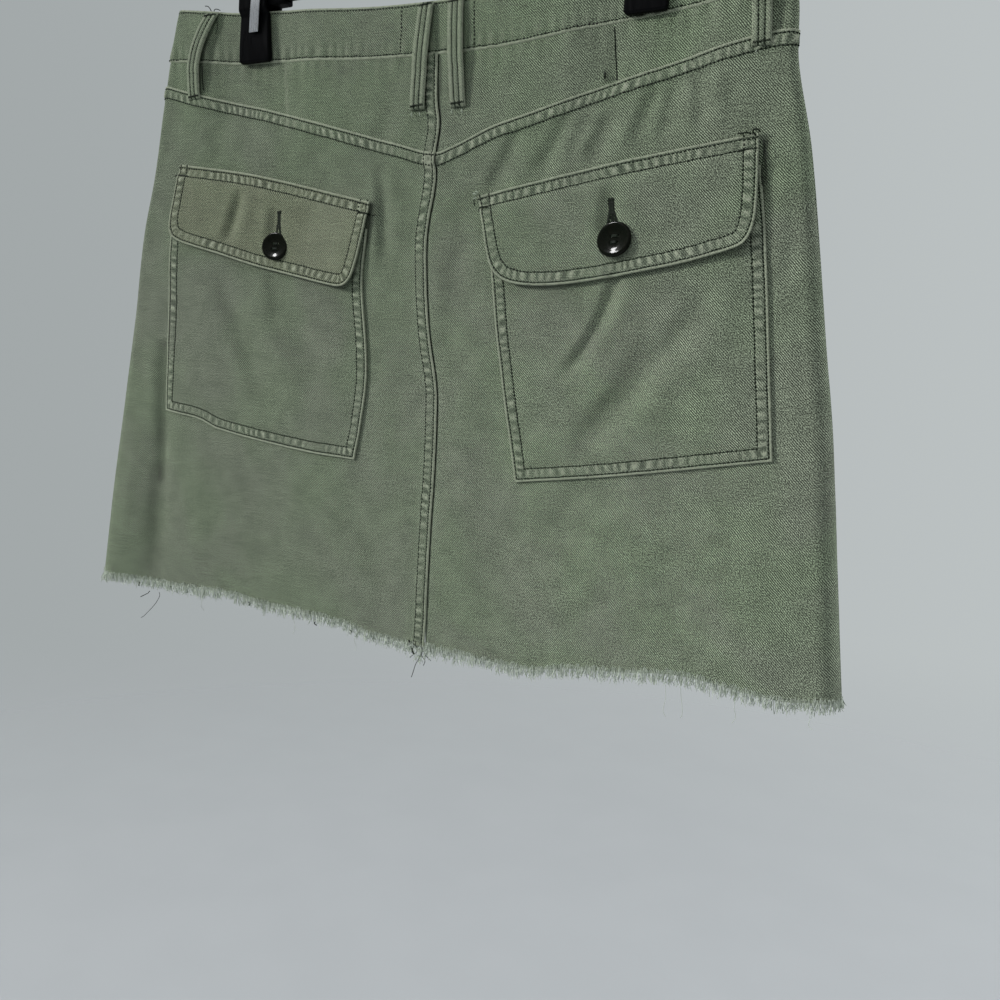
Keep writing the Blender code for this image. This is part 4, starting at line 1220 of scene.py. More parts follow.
def build_waistband():
    rows = stations((0.0, 0.12, 0.35, 0.7, 1.1, 1.5, 1.9, 2.4, 3.2, 4.4), 1.6,
                    (0.0, 0.12, 0.35, 0.7, 1.2, 1.7, 2.2, 2.9, 3.8, 5.0), BAND_HEIGHT)
    columns = stations((0.0, 1.6), FIELD_STEP, (0.0,), 200.0)
    left, right = [band_grid("back", side, 0.0, columns, rows) for _, side in SIDES]
    a, z = [np.concatenate([one[:, :0:-1], two], 1) for one, two in zip(left, right)]
    finish_band("waistband_back_length", "waistband_back", "back", a, z)
    columns = stations(PLAIN_STEPS, FIELD_STEP, (0.0,), 210.0)
    for (name, side), start in zip(SIDES, (-LAP_END, LAP_START)):
        a, z = band_grid("front", side, start, columns, rows)
        over = (BAND + GAP) * smooth((a - LAP_START + LAP_RAMP) / LAP_RAMP) if side < 0 else 0.0
        finish_band(f"waistband_front_length_{name}", f"waistband_front_{name}", "front", a, z,
                    over)


# ---------------------------------------------------------------- pockets and flaps


def coons(top, bottom, left, right, u, v):
    """Grid inside four edges, each a function of 0 to 1 that gives (x, z)."""
    u, v = u[None, :], v[:, None]
    tops, bottoms, lefts, rights = top(u), bottom(u), left(v), right(v)
    high_l, high_r, low_l, low_r = [edge(np.array(t)) for edge in (top, bottom) for t in (0.0, 1.0)]
    return [
        (1 - v) * tops[i] + v * bottoms[i] + (1 - u) * lefts[i] + u * rights[i]
        - (1 - u) * (1 - v) * high_l[i] - u * (1 - v) * high_r[i]
        - (1 - u) * v * low_l[i] - u * v * low_r[i]
        for i in (0, 1)]


def outline_of(patch):
    """Down the left edge, along the bottom and up the right edge, in steps of about 1 mm."""
    parts = []
    for edge, way in ((patch.left, 1), (patch.bottom, 1), (patch.right, -1)):
        t = np.linspace(0, 1, max(8, round(edge.reach[-1])))
        parts.append(np.stack(edge.along(t[::way]), -1))
    return np.concatenate([parts[0], parts[1][1:], parts[2][1:]])


def lengths_along(line):
    return np.concatenate([[0.0], np.cumsum(np.linalg.norm(np.diff(line, axis=0), axis=1))])


def at_lengths(line, reach):
    """Places x and z on a line at lengths along it."""
    along = lengths_along(line)
    return np.interp(reach, along, line[:, 0]), np.interp(reach, along, line[:, 1])


def piece_of(line, low, high):
    """The part of a line between two lengths, as a function of 0 to 1."""
    return lambda t: at_lengths(line, low + np.asarray(t) * (high - low))


# How a pocket lies: off the panel, fuller in its middle, and thicker where its edge is folded under
POCKET_OFF = 0.25
POCKET_BELLY = 0.8
POCKET_FOLD = 0.55


def build_pockets():
    """Patch pockets: folded edges sewn down with two rows, open under the flap."""
    u = shares(EDGE_STEPS, FIELD_STEP, EDGE_STEPS, 152.0)
    v = shares(PLAIN_STEPS, FIELD_STEP, EDGE_STEPS, 145.0)
    for name, patch in POCKETS.items():
        x, z = coons(*[edge.along for edge in patch], u, v)
        edge, run = nearest_on(outline_of(patch), x, z)
        profile, crest = seam_profile(edge, run, 1.1 if name == "left" else 3.3, rise=0.35)
        normal = outward("back", x, z)
        height = PANEL + POCKET_OFF + relief("back", x, z) + profile
        belly = POCKET_BELLY * np.sin(np.pi * np.clip(edge / 60, 0, 0.5)) * smooth(edge / 30)
        height = height + belly
        mid = cloth("back", x, z) + normal * height[..., None]
        over = rounded(rim_distance(x, z), in_mm("cloth_half"))
        under = over + POCKET_FOLD * smooth(1 - (edge - 6.0) / 3.0)
        # rub: dye rubbed off, and painted shade where the table's lines are negative
        add_sheet(f"patch_pocket_{name}", f"pocket_{name}", mid, normal, over, (x + 7.0, z + 5.0),
                  {"edge": edge, "crest": crest, "rub": rubbed(RUBS_AND_SHADE, x, z)},
                  under=under)


def flap_height(u, v):
    """How far a flap's middle lies off the panel's."""
    low = PANEL / 2 + GAP + FLAP / 2
    over_mouth = smooth((v - FLAP_SEWN) / (FLAP_CLEARS - FLAP_SEWN))
    corner = 1 + abs(2 * u - 1) ** 3
    return low + (PANEL + POCKET_GAP) * over_mouth + FLAP_LIFT * corner * v**3


def flap_outline(name):
    """Points round a flap's free edge, and the lengths along it where its corners turn."""
    edge, corners = FLAP_EDGES[name]
    line = np.stack(edge.along(np.linspace(0, 1, round(edge.reach[-1] / 0.8))), -1)
    reach = lengths_along(line)
    return line, [reach[np.argmin(np.hypot(*(line - corner).T))] for corner in corners]


def build_flaps():
    """Doubled flaps, sewn on above the pockets, with rounded corners that stand off."""
    u = shares(EDGE_STEPS, 1.5, EDGE_STEPS, 152.0)
    v = shares(EDGE_STEPS, 1.4, EDGE_STEPS, 46.0)
    for name, top in FLAP_TOPS.items():
        line, corners = flap_outline(name)
        left, bottom = piece_of(line, 0.0, corners[0]), piece_of(line, *corners)
        right = piece_of(line, lengths_along(line)[-1], corners[1])
        x, z = coons(top.along, bottom, left, right, u, v)
        edge, run = nearest_on(line, x, z)
        top_line = np.stack(top.along(np.linspace(0, 1, 60)), -1)
        from_top, top_run = nearest_on(top_line, x, z)
        shift = 0.3 if name == "left" else 5.2
        profile, crest = seam_profile(edge, run, shift, rise=0.25)
        top_profile, top_crest = seam_profile(from_top, top_run, shift + 1.0, rise=0.2)
        weight = smooth((from_top + 2.0 - edge) / 4.0)
        profile = profile * weight + top_profile * (1 - weight)
        crest = np.where(from_top < edge, top_crest, crest)
        normal = outward("back", x, z)
        height = flap_height(u[None, :], v[:, None]) + relief("back", x, z) + profile
        mid = cloth("back", x, z) + normal * height[..., None]
        # rub: dye rubbed off, and painted shade where the table's lines are negative
        add_sheet(f"pocket_flap_{name}", f"flap_{name}", mid, normal,
                  rounded(rim_distance(x, z), FLAP / 2 - 0.1), (x * 0.998 + 3.0, z + 11.0),
                  {"edge": np.minimum(edge, from_top), "crest": crest, "rub": rubbed(RUBS_AND_SHADE, x, z)},
                  finish="twill_faded" if name == "left" else "twill")


# ---------------------------------------------------------------- belt loops


def loop_middle(loop, t):
    """Middle line of a belt loop and its height off the cloth's middle."""
    t = np.asarray(t, float)
    z = loop.top[1] + (loop.foot[1] - loop.top[1]) * t
    x = loop.top[0] + (loop.foot[0] - loop.top[0]) * t + loop.bow * np.sin(np.pi * t)
    on_band = smooth((z - waist(x) + LOOP_OFF_BAND + 2.0) / 4.0)
    under = PANEL / 2 + (BAND / 2 - PANEL / 2) * on_band
    ends = np.sin(np.pi * np.clip(t, 0, 1)) ** LOOP_FULLNESS
    return x, z, under + GAP + LOOP / 2 + LOOP_STANDOFF * ends


LOOP_ROWS = (-1.65, 1.5)
LOOP_ACROSS = np.array((
    -4.9, -4.72, -4.3, -3.6, -2.9, -2.2, -1.65, -1.1, -0.4, 0.35, 1.0, 1.5, 2.1, 2.9, 3.6, 4.3,
    4.72, 4.9))


def build_loops():
    """Belt loops: strips folded in three, with two rows of stitches along them."""
    w = LOOP_ACROSS[None, :]
    from_row = np.minimum(*[abs(w - row) for row in LOOP_ROWS])
    ridge = np.where(abs(w) > 4.5, 0.88, np.where(abs(abs(w) - 3.2) < 0.5, 1.12, 1.28))
    sunk = 0.42 * sum(bell(w - row, 0.42) for row in LOOP_ROWS)
    for name, loop in LOOPS.items():
        x, z, height = loop_middle(loop, np.linspace(0, 1, 58)[:, None])
        x, z, height = np.broadcast_arrays(x + w, z, height)
        crest = gather(z + 0 * w, 0.9 + len(name)) * 0.6
        lift = 0.10 * crest - sunk - 0.22 * bell(abs(w) - 4.6, 0.5)
        normal = outward(loop.layer, x, z)
        lie = relief(loop.layer, x[:, :1] + 0 * x, z) * 0.5
        mid = cloth(loop.layer, x, z) + normal * (height + lift + lie)[..., None]
        # The rows of stitches are given the first row's distance, 1.7, so that they take the
        # painted shade of a row
        edge = np.broadcast_to(np.where(from_row < 0.3, 1.7, ridge), x.shape)
        add_sheet(f"belt_loop_strip_{name}", f"belt_loop_{name}", mid, normal,
                  rounded(rim_distance(x, z), LOOP / 2), (x, z), {"edge": edge, "crest": crest})


# ---------------------------------------------------------------- rows that follow a path


def rows_tree(name, *inputs):
    """A geometry tree with the given inputs and a material."""
    return new_tree(
        "GeometryNodeTree", name, (("Geometry", "Geometry"), *inputs, ("Material", "Material")),
        (("Geometry", "Geometry"),))


def spots_along(tree, rows, step):
    """Curves along the edges of a mesh, with a point at every step."""
    rows = feed(tree, "GeometryNodeMeshToCurve", {"Mesh": rows})
    return feed(tree, "GeometryNodeResampleCurve", {"Curve": rows, "Length": step}, mode="LENGTH")


def named(tree, name):
    return feed(tree, "GeometryNodeInputNamedAttribute", {"Name": name}, data_type="FLOAT_VECTOR")


def random_between(tree, low, high, seed):
    inputs = {2: low, 3: high, "Seed": seed}
    return put(tree, "FunctionNodeRandomValue", inputs, data_type="FLOAT").outputs[1]


def xyz(tree, x=0.0, y=0.0, z=0.0):
    return feed(tree, "ShaderNodeCombineXYZ", {0: x, 1: y, 2: z})


def aligned(tree, primary, axis, secondary, other):
    """The rotation that turns one axis along the first way, and another towards the second."""
    inputs = {"Primary Axis": primary, "Secondary Axis": secondary}
    return feed(tree, "FunctionNodeAxesToRotation", inputs, primary_axis=axis, secondary_axis=other)


def turned(tree, rotation, angles):
    """A rotation turned further, about its own axes."""
    inputs = {0: rotation, 1: feed(tree, "FunctionNodeEulerToRotation", {0: angles})}
    return feed(tree, "FunctionNodeRotateRotation", inputs, rotation_space="LOCAL")


def scattered(tree, rows, thing, rotation, scale):
    inputs = {"Points": rows, "Instance": thing, "Rotation": rotation, "Scale": scale}
    return feed(tree, "GeometryNodeInstanceOnPoints", inputs)


def finish_tree(tree, geometry, given, made):
    """Smooth shading, the material, and the tree's end."""
    geometry = feed(tree, "GeometryNodeSetShadeSmooth", {"Geometry": geometry})
    inputs = {"Geometry": geometry, "Material": given["Material"]}
    tree.links.new(feed(tree, "GeometryNodeSetMaterial", inputs), made["Geometry"])
    return tree


def stitch_tree():
    """Stitches along rows: each a short thread, its ends down in the cloth."""
    tree, given, made = rows_tree(
        "Rows of stitches", ("Pitch", "Float", 0.0027), ("Length", "Float", 0.0022),
        ("Thread", "Float", 0.00055), ("Turn", "Float", 0.0), ("Wander", "Float", 0.10),
        ("Seed", "Int", 3))
    seed, thread = given["Seed"], given["Thread"]
    rows = spots_along(tree, given["Geometry"], given["Pitch"])
    facing = aligned(tree, feed(tree, "GeometryNodeInputTangent"), "X", named(tree, "out"), "Z")
    sway = random_between(tree, times(tree, given["Wander"], -1.0), given["Wander"], seed)
    facing = turned(tree, facing, xyz(tree, z=plus(tree, given["Turn"], sway)))
    ball = feed(tree, "GeometryNodeMeshUVSphere", {"Segments": 6, "Rings": 4, "Radius": 0.5})
    inputs = {"Geometry": ball, "Rotation": (0.0, math.pi / 2, 0.0)}
    ball = feed(tree, "GeometryNodeTransform", inputs)
    uneven_length = random_between(tree, 0.86, 1.1, plus(tree, seed, 1.0))
    long = times(tree, given["Length"], uneven_length)
    spots = scattered(tree, rows, ball, facing, xyz(tree, long, thread, times(tree, thread, 0.85)))
    real = feed(tree, "GeometryNodeRealizeInstances", {"Geometry": spots})
    return finish_tree(tree, real, given, made)


def fray_tree():
    """Loose yarns along a raw edge: bent, leaning, uneven in length, in tufts."""
    tree, given, made = rows_tree(
        "Frayed yarns", ("Spacing", "Float", 0.0003), ("Length", "Float", 0.0085),
        ("Yarn", "Float", 0.00017), ("Lean", "Float", 0.20), ("Curl", "Float", 0.0024),
        ("Seed", "Int", 5))

    def chance(number, low, high):
        return random_between(tree, low, high, plus(tree, given["Seed"], float(number)))

    def swing(number, reach):
        return times(tree, chance(number, -1.0, 1.0), given["Lean"], reach)

    def clump(part, size):
        return times(tree, calc(tree, "SUBTRACT", part, 0.5), size)

    rows = spots_along(tree, given["Geometry"], given["Spacing"])
    facing = aligned(tree, named(tree, "up"), "Z", named(tree, "out"), "Y")
    tuft = feed(tree, "ShaderNodeTexNoise", {"Scale": 150.0, "Detail": 2.0})
    broad = put(tree, "ShaderNodeTexNoise", {"Scale": 420.0, "Detail": 1.0}).outputs[1]
    split = split_up(tree, broad)
    turn_x = plus(tree, swing(1, 0.75), clump(split["X"], 1.2))
    turn_y = plus(tree, swing(2, 1.0), clump(split["Y"], 1.5))
    facing = turned(tree, facing, xyz(tree, turn_x, turn_y))
    facing = turned(tree, facing, xyz(tree, z=chance(3, -3.14, 3.14)))
    yarn = feed(tree, "GeometryNodeCurveQuadraticBezier", {
        "Resolution": 4, "Start": (0.0, 0.0, 0.28), "Middle": (0.02, 0.0, -0.35),
        "End": (0.17, 0.0, -0.72)})
    tufted = feed(tree, "ShaderNodeMapRange", {0: tuft, 1: 0.3, 2: 0.7, 3: 0.62, 4: 1.12})
    long = times(tree, given["Length"], chance(4, 0.55, 1.1), tufted)
    spots = scattered(tree, rows, yarn, facing, xyz(tree, long, long, long))
    inputs = {"Geometry": spots, "Name": "shade", "Value": chance(5, 0.0, 1.0)}
    spots = feed(
        tree, "GeometryNodeStoreNamedAttribute", inputs, data_type="FLOAT", domain="INSTANCE")
    real = feed(tree, "GeometryNodeRealizeInstances", {"Geometry": spots})
    wave = put(tree, "ShaderNodeTexNoise", {"Scale": 260.0, "Detail": 1.0}).outputs[1]
    wave = feed(tree, "ShaderNodeVectorMath", {0: wave, 1: (0.5, 0.5, 0.5)}, operation="SUBTRACT")
    curl = times(tree, feed(tree, "GeometryNodeSplineParameter"), given["Curl"])
    inputs = {"Geometry": real, "Offset": scaled(tree, wave, curl)}
    real = feed(tree, "GeometryNodeSetPosition", inputs)
    inputs = {"Resolution": 3, "Radius": given["Yarn"]}
    ring = feed(tree, "GeometryNodeCurvePrimitiveCircle", inputs)
    inputs = {"Curve": real, "Profile Curve": ring, "Fill Caps": True}
    return finish_tree(tree, feed(tree, "GeometryNodeCurveToMesh", inputs), given, made)


def path_mesh(name, paths):
    """Lines of points, each (points, {attribute: vectors}), joined in one mesh of edges."""
    mesh = bpy.data.meshes.new(name)
    points = np.concatenate([path[0] for path in paths])
    edges, start = [], 0
    for path in paths:
        edges += [(start + i, start + i + 1) for i in range(len(path[0]) - 1)]
        start += len(path[0])
    mesh.from_pydata(garment_to_world(points).tolist(), edges, [])
    for key in paths[0][1]:
        store = mesh.attributes.new(key, "FLOAT_VECTOR", "POINT")
        ways = np.concatenate([path[1][key] for path in paths])
        store.data.foreach_set("vector", ways.astype(np.float32).ravel())
    return mesh


def baked(name, data, prepare=None):
    """The plain mesh that an object's data and modifiers make; the object is gone after."""
    helper = bpy.data.objects.new(name, data)
    bpy.context.scene.collection.objects.link(helper)
    if prepare:
        prepare(helper)
    graph = bpy.context.evaluated_depsgraph_get()
    mesh = bpy.data.meshes.new_from_object(helper.evaluated_get(graph))
    bpy.data.objects.remove(helper)
    mesh.name = name
    return mesh


def grow(name, tree, paths, inputs, finish, *replaces):
    """Runs a tree on paths and adds its result as a plain piece."""

    def prepare(helper):
        modifier = helper.modifiers.new("rows", "NODES")
        modifier.node_group = tree
        given = {"Material": finish_of(finish), **inputs}
        for item in tree.interface.items_tree:
            if item.item_type == "SOCKET" and item.in_out == "INPUT" and item.name in given:
                modifier[item.identifier] = given[item.name]
        helper.update_tag()

    mesh = baked(name, path_mesh(f"{name}_paths", paths), prepare)
    if len(mesh.polygons) == 0:
        raise RuntimeError(f"{name}: the tree made no faces")
    add_piece(name, mesh, finish, *replaces)


ROW_WANDER = 0.12
ROW_SUNK = -0.02
TACK_SUNK = -0.05
HOLE_SUNK = -0.1


class Cloths:
    """Finds the outer face of finished pieces along a line of sight."""

    def __init__(self, *names):
        graph = bpy.context.evaluated_depsgraph_get()
        self.trees = [BVHTree.FromObject(bpy.data.objects[name], graph) for name in names]

    def lay(self, layer, a, z, sunk):
        """Points on the outermost of the pieces over places of the cloth, and the way out there."""
        a, z = np.broadcast_arrays(np.asarray(a, float), np.asarray(z, float))
        base, out = garment_to_world(cloth(layer, a, z)), outward(layer, a, z, 2.0)
        points, kept = [], []
        for start, way in zip(base.reshape(-1, 3), out.reshape(-1, 3)):
            eye = Vector(start + way * 0.03)
            hits = [tree.ray_cast(eye, Vector(-way), 0.045) for tree in self.trees]
            hits = [hit for hit in hits if hit[0] is not None]
            if not hits:
                continue
            hit = min(hits, key=lambda found: found[3])
            points.append(np.array(hit[0]) / MM + np.array((0.0, 0.0, WAIST_DROP)) - way * sunk)
            kept.append(way)
        return np.array(points).reshape(-1, 3), np.array(kept).reshape(-1, 3)


    def row(self, layer, x, z, sunk):
        """A path of points with its way out."""
        points, out = self.lay(layer, x, z, sunk)
        return points, {"out": out}


def sewn(cloths, layer, x, z, step=1.0):
    """A row of stitches laid on finished pieces along places of the cloth, hardly straight."""
    line = np.stack(np.broadcast_arrays(np.asarray(x, float), z), -1)
    reach = lengths_along(line)[-1]
    x, z = at_lengths(line, np.linspace(0, reach, max(2, int(round(reach / step)) + 1)))
    way = np.gradient(np.stack([x, z], -1), axis=0)
    way /= np.maximum(np.linalg.norm(way, axis=1, keepdims=True), 1e-6)
    drift = ROW_WANDER * (np.sin(x * 0.31 + z * 0.23) + np.sin(x * 0.83 - z * 0.57))
    return cloths.row(layer, x - way[:, 1] * drift, z + way[:, 0] * drift, ROW_SUNK)


def inset(line, distance):
    """The line moved to its left side by a distance, its corners kept sharp and not crossing."""
    step = np.diff(line, axis=0)
    step /= np.linalg.norm(step, axis=1, keepdims=True)
    side = np.stack([-step[:, 1], step[:, 0]], -1)
    before, after = np.vstack([side[:1], side]), np.vstack([side, side[-1:]])
    both = before + after
    scale = 2.0 / np.maximum((both**2).sum(1, keepdims=True), 0.4)
    moved = line + distance * both * scale
    return moved[nearest_on(line, *moved.T)[0] > distance - 0.2]


def stitch(name, paths, **changed):
    """Sews along paths and adds the stitches as a piece."""
    given = {"Pitch": sizes().stitch_pitch, "Length": sizes().stitch_length,
             "Thread": sizes().thread, **changed}
    paths = [path for path in paths if len(path[0]) > 2]
    grow(name, shared("Rows of stitches", stitch_tree), paths, given, "thread")


def back_rows():
    """The yokes' seam and the centre seam."""
    back = Cloths("back_panel_left", "back_panel_right", "yoke_panel_left", "yoke_panel_right")
    for _, side in SIDES:
        reach = side_sizes(np.array(-8.0), side)[0] + 5.5
        a = np.linspace(0, side * reach, 240)
        a = a[abs(a) > 0.5]
        x = on_flat(a, YOKE_SEAM.height(a))
        for row in twin_rows():
            yield sewn(back, "back", a, back_edge(x) - row / SEAM_SLOPE)
    z = np.linspace(-3, HEM.height(np.array(6.0)) + 1.0, 340)
    for row in twin_rows():
        yield sewn(back, "back", CENTRE["back"](z) + SEAM_OVER - row, z)


def band_rows():
    """Along both edges of the waistband, beside its label, and at its lapped end."""
    band = Cloths("waistband_back_length")
    a = np.linspace(-206, 196, 400)
    x = on_flat(a, waist_top(a))
    yield sewn(band, "back", a, waist_top(x) - BAND_ROW)
    yield sewn(band, "back", a, waist(x) + BAND_ROW)
    for x0, x1 in ((-26.0, -26.0), (21.0, 22.0)):
        yield sewn(band, "back", np.linspace(x0, x1, 20), np.linspace(26.0, 2.4, 20))
    for name, low, high in (("left", -206.0, 20.0), ("right", 22.5, 196.0)):
        cover = Cloths(f"waistband_front_length_{name}")
        a = np.linspace(low, high, 230)
        x = on_flat(a, waist_top(a))
        drop = waist(x) - front_waist(x)
        yield sewn(cover, "front", a, waist_top(x) - drop - BAND_ROW)
        yield sewn(cover, "front", a, front_waist(x) + BAND_ROW)
    end = Cloths("waistband_front_length_left")
    yield sewn(end, "front", LAP_END - BAND_ROW, np.linspace(24.0, 0.5, 30))


def front_rows():
    """The front's centre seam, and the curved rows that hold the fly facing."""
    first, second = twin_rows()
    front = Cloths("front_panel_left", "front_panel_right")
    z = np.linspace(-6.0, HEM.height(np.array(0.0)) + 1.0, 320)
    yield sewn(front, "front", SEAM_OVER - first, z)
    yield sewn(front, "front", SEAM_OVER - second, z[z < FLY_ROW_FOOT])
    t = np.linspace(0, np.pi / 2, 40)[1:]
    for reach in (31.0, 36.5):
        x = np.concatenate([np.full(60, -reach), -reach + reach * (1 - np.cos(t))])
        straight = np.linspace(-4.0, FLY_ROW_BEND, 60)
        yield sewn(front, "front", x, np.concatenate(
            [straight, FLY_ROW_BEND - (reach + 2.0) * np.sin(t)]))


def pocket_rows(name):
    pocket = Cloths(f"patch_pocket_{name}")
    for row in twin_rows():
        yield sewn(pocket, "back", *inset(outline_of(POCKETS[name]), row).T, 0.8)


def flap_rows(name):
    flap = Cloths(f"pocket_flap_{name}")
    for row in twin_rows():
        yield sewn(flap, "back", *inset(flap_outline(name)[0], row).T, 0.8)
    x, z = FLAP_TOPS[name].along(np.linspace(0.004, 0.996, 150))
    for row in (2.1, in_mm("row_deep")):
        yield sewn(flap, "back", x, z - row, 0.8)


def loop_rows():
    for name, loop in LOOPS.items():
        strip = Cloths(f"belt_loop_strip_{name}")
        x, z, _ = loop_middle(loop, np.linspace(0.02, 0.98, 60))
        for row in LOOP_ROWS:
            yield sewn(strip, loop.layer, x + row, z, 0.8)


FLY_ROW_BEND = -96.0
FLY_ROW_FOOT = -134.0
LOOP_THREAD = 0.9
# The rows of topstitching: piece, the rows' function and what it is given
ROW_GROUPS = (
    ("back_seams", back_rows), ("waistband", band_rows), ("front", front_rows),
    ("pocket_left", pocket_rows, "left"), ("flap_left", flap_rows, "left"),
    ("pocket_right", pocket_rows, "right"), ("flap_right", flap_rows, "right"),
    ("belt_loops", loop_rows),
)


def build_stitching():
    """Every row of topstitching, on the pieces it holds."""
    for seed, (name, rows, *given) in enumerate(ROW_GROUPS, 11):
        thick = LOOP_THREAD if name == "belt_loops" else 1.0
        stitch(f"topstitch_{name}", rows(*given), Seed=seed, Thread=sizes().thread * thick)


def tack(cloths, layer, start, end):
    return cloths.row(layer, *np.linspace(start, end, 20).T, TACK_SUNK)


TACK_DOWN = 7.4
TACK_REACH = (0.4, 8.2)
LOOP_TACKS_AT = (0.03, 0.965)


def build_tacks():
    """Bar tacks at the flaps' corners and the loops' ends, and the edges of the buttonholes."""
    paths = []
    for name, slope in (("left", -0.12), ("right", 0.14)):
        flap = Cloths(f"pocket_flap_{name}", f"back_panel_{name}")
        for x, z, way in zip(*FLAP_TOPS[name].along(np.array([0.0, 1.0])), (1, -1)):
            start, end = [
                (x + way * reach, z - TACK_DOWN + way * slope * reach) for reach in TACK_REACH]
            paths.append(tack(flap, "back", start, end))
    for name, loop in LOOPS.items():
        strip = Cloths(f"belt_loop_strip_{name}")
        for t in LOOP_TACKS_AT:
            x, z, _ = loop_middle(loop, np.array(t))
            paths.append(tack(strip, loop.layer, (x - 4.0, z - 0.3), (x + 4.0, z + 0.3)))
    stitch("bar_tacks", paths, Pitch=0.0006, Length=0.0017, Thread=0.00055, Turn=math.pi / 2,
           Wander=0.4, Seed=41)

    paths = []
    t = np.linspace(0, 1, 30)
    for name, (x, z) in BUTTONS.items():
        flap = Cloths(f"pocket_flap_{name}")
        aside, lean, narrow, wide = BUTTONHOLES[name]
        for way in (-1, 0, 1):
            half = narrow + wide * np.clip(t - 0.4, 0, 1) / 0.6
            kept = t <= (BUTTONHOLE_CLOSED[name] if way == 0 else 1.0)
            place, down = x + aside + lean * (1 - t) + way * half, z + 20.7 - 13.5 * t
            paths.append(flap.row("back", place[kept], down[kept], HOLE_SUNK))
        across = x + aside + lean + np.linspace(-1.4, 1.4, 12)
        paths.append(flap.row("back", across, z + 21.0, HOLE_SUNK))
    band = Cloths("waistband_front_length_left")
    for aside in (-0.8, 0.8):
        x = np.linspace(-2.0, 15.0, 24)
        paths.append(band.row("front", x, WAIST_BUTTON[1] + aside, HOLE_SUNK))
    stitch("buttonhole_edges", paths, Pitch=0.0007, Length=0.0023, Thread=0.0010, Turn=math.pi / 2,
           Wander=0.35, Seed=47)


# ---------------------------------------------------------------- raw hem


# How far above the raw edge each line of yarns starts, and how many steps inwards
FRAY_LINES = ((0.4, -1), (1.0, 0), (1.9, 1))
FRAY_POINTS = 420


def build_fray():
    """Frayed yarns along each panel's raw edge."""
    tree = fray_tree()
    panels = [(layer, name, side) for layer in ("back", "front") for name, side in SIDES]
    for number, (layer, name, side) in enumerate(panels):
        start = float(CENTRE[layer](np.array(-343.0)))
        paths = []
        for rise, step in FRAY_LINES:
            z = np.full(FRAY_POINTS, -336.0)
            for _ in range(4):
                flat, roll = side_sizes(z, side)
                end = (flat + roll * np.pi / 2).max() - 0.3
                a = side * np.linspace(side * start, end, FRAY_POINTS)
                x = on_flat(a, z)
                z = HEM.height(x) + rise
            out = outward(layer, a, z, 2.0)
            points = cloth(layer, a, z) + out * (relief(layer, x, z) + 0.3 - 0.45 * step)[:, None]
            up = unit(cloth(layer, a, z + 3.0) - cloth(layer, a, z))
            paths.append((points, {"out": out, "up": up}))
        inputs = {"Spacing": sizes().fray_spacing * len(paths), "Length": sizes().fray_length,
                  "Yarn": sizes().fray_yarn, "Seed": 60 + 7 * number}
        grow(f"frayed_hem_{layer}_{name}", tree, paths, inputs, "fray", f"hem_fray_{layer}_{name}")


def tube_mesh(name, lines):
    """Round tubes along lines of (points, radius), their ends closed."""
    curve = bpy.data.curves.new(name, "CURVE")
    curve.dimensions = "3D"
    curve.bevel_depth = 1.0
    curve.bevel_resolution = 1
    curve.use_fill_caps = True
    for points, radius in lines:
        line = curve.splines.new("POLY")
        points = garment_to_world(points)
        line.points.add(len(points) - 1)
        for point, place in zip(line.points, points):
            point.co = (*place, 1.0)
            point.radius = radius * MM
    mesh = baked(name, curve)
    with reshaped(mesh) as shape:
        bmesh.ops.remove_doubles(shape, verts=shape.verts, dist=1e-7)
        bmesh.ops.recalc_face_normals(shape, faces=shape.faces)
    mesh.shade_smooth()
    return mesh


# Thread ends beside the belt loops and the flaps' corners: start, then bends from there
ENDS = (
    ((-168.5, 38.6), ((-0.8, 1.6), (-2.8, 3.2), (-5.0, 3.6)), 0.26),
    ((-166.6, 38.4), ((1.2, 1.0), (2.8, 1.0), (4.2, 0.4)), 0.26),
    ((-166.5, 36.0), ((1.8, -2.6), (2.2, -7.0), (0.8, -11.0)), 0.20),
    ((180.0, -54.6), ((-2.4, 0.6), (-4.8, 0.2), (-6.4, 0.9)), 0.42),
    ((184.4, -54.0), ((-1.8, 1.4), (-3.8, 1.0), (-3.2, -0.6)), 0.42),
    ((186.2, -58.0), ((0.7, -6.0), (0.2, -14.0), (1.0, -21.0)), 0.24),
    ((28.4, -81.0), ((0.2, -2.2), (0.5, -4.8)), 0.34),
    ((-192.0, -61.5), ((-2.4, 0.3), (-3.8, -0.4)), 0.30),
    ((-40.5, -89.0), ((1.8, -0.6), (3.6, -0.2)), 0.30),
    ((99.6, -18.8), ((0.4, -1.6), (0.3, -3.2)), 0.5),
    ((-174.6, 5.4), ((0.3, -4.2), (0.1, -9.0), (0.4, -14.2)), 0.36),
)
PALE_ENDS = (
    ((29.6, -79.4), ((-1.0, 0.5), (-2.0, 0.4)), 0.46),
    ((29.8, -81.2), ((-1.1, -0.3), (-2.0, -0.8)), 0.42),
    ((30.8, -78.6), ((-0.9, 0.7), (-1.9, 0.9)), 0.40),
    ((-15.5, -32.6), ((-0.2, -1.1), (0.1, -1.9)), 0.36),
    ((-10.5, -32.6), ((0.3, -1.0), (0.1, -1.8)), 0.36),
    ((11.0, -32.6), ((-0.2, -1.1), (0.1, -1.8)), 0.36),
    ((17.0, -32.6), ((0.3, -1.0), (0.5, -1.9)), 0.36),
    ((179.0, -15.0), ((-0.3, -1.0), (0.0, -1.7)), 0.34),
)
# A straight seam of one row on the back
DART = ((102.7, 4.2), (104.0, -8.0), (105.9, -22.5))


def bent_line(start, bends, count=16):
    keys = np.array([(0.0, 0.0), *bends])
    t = np.linspace(0, len(keys) - 1, count)
    order = np.arange(len(keys))
    return start[0] + through(order, keys[:, 0], t), start[1] + through(order, keys[:, 1], t), t


FRAY_SHADE = 0.92


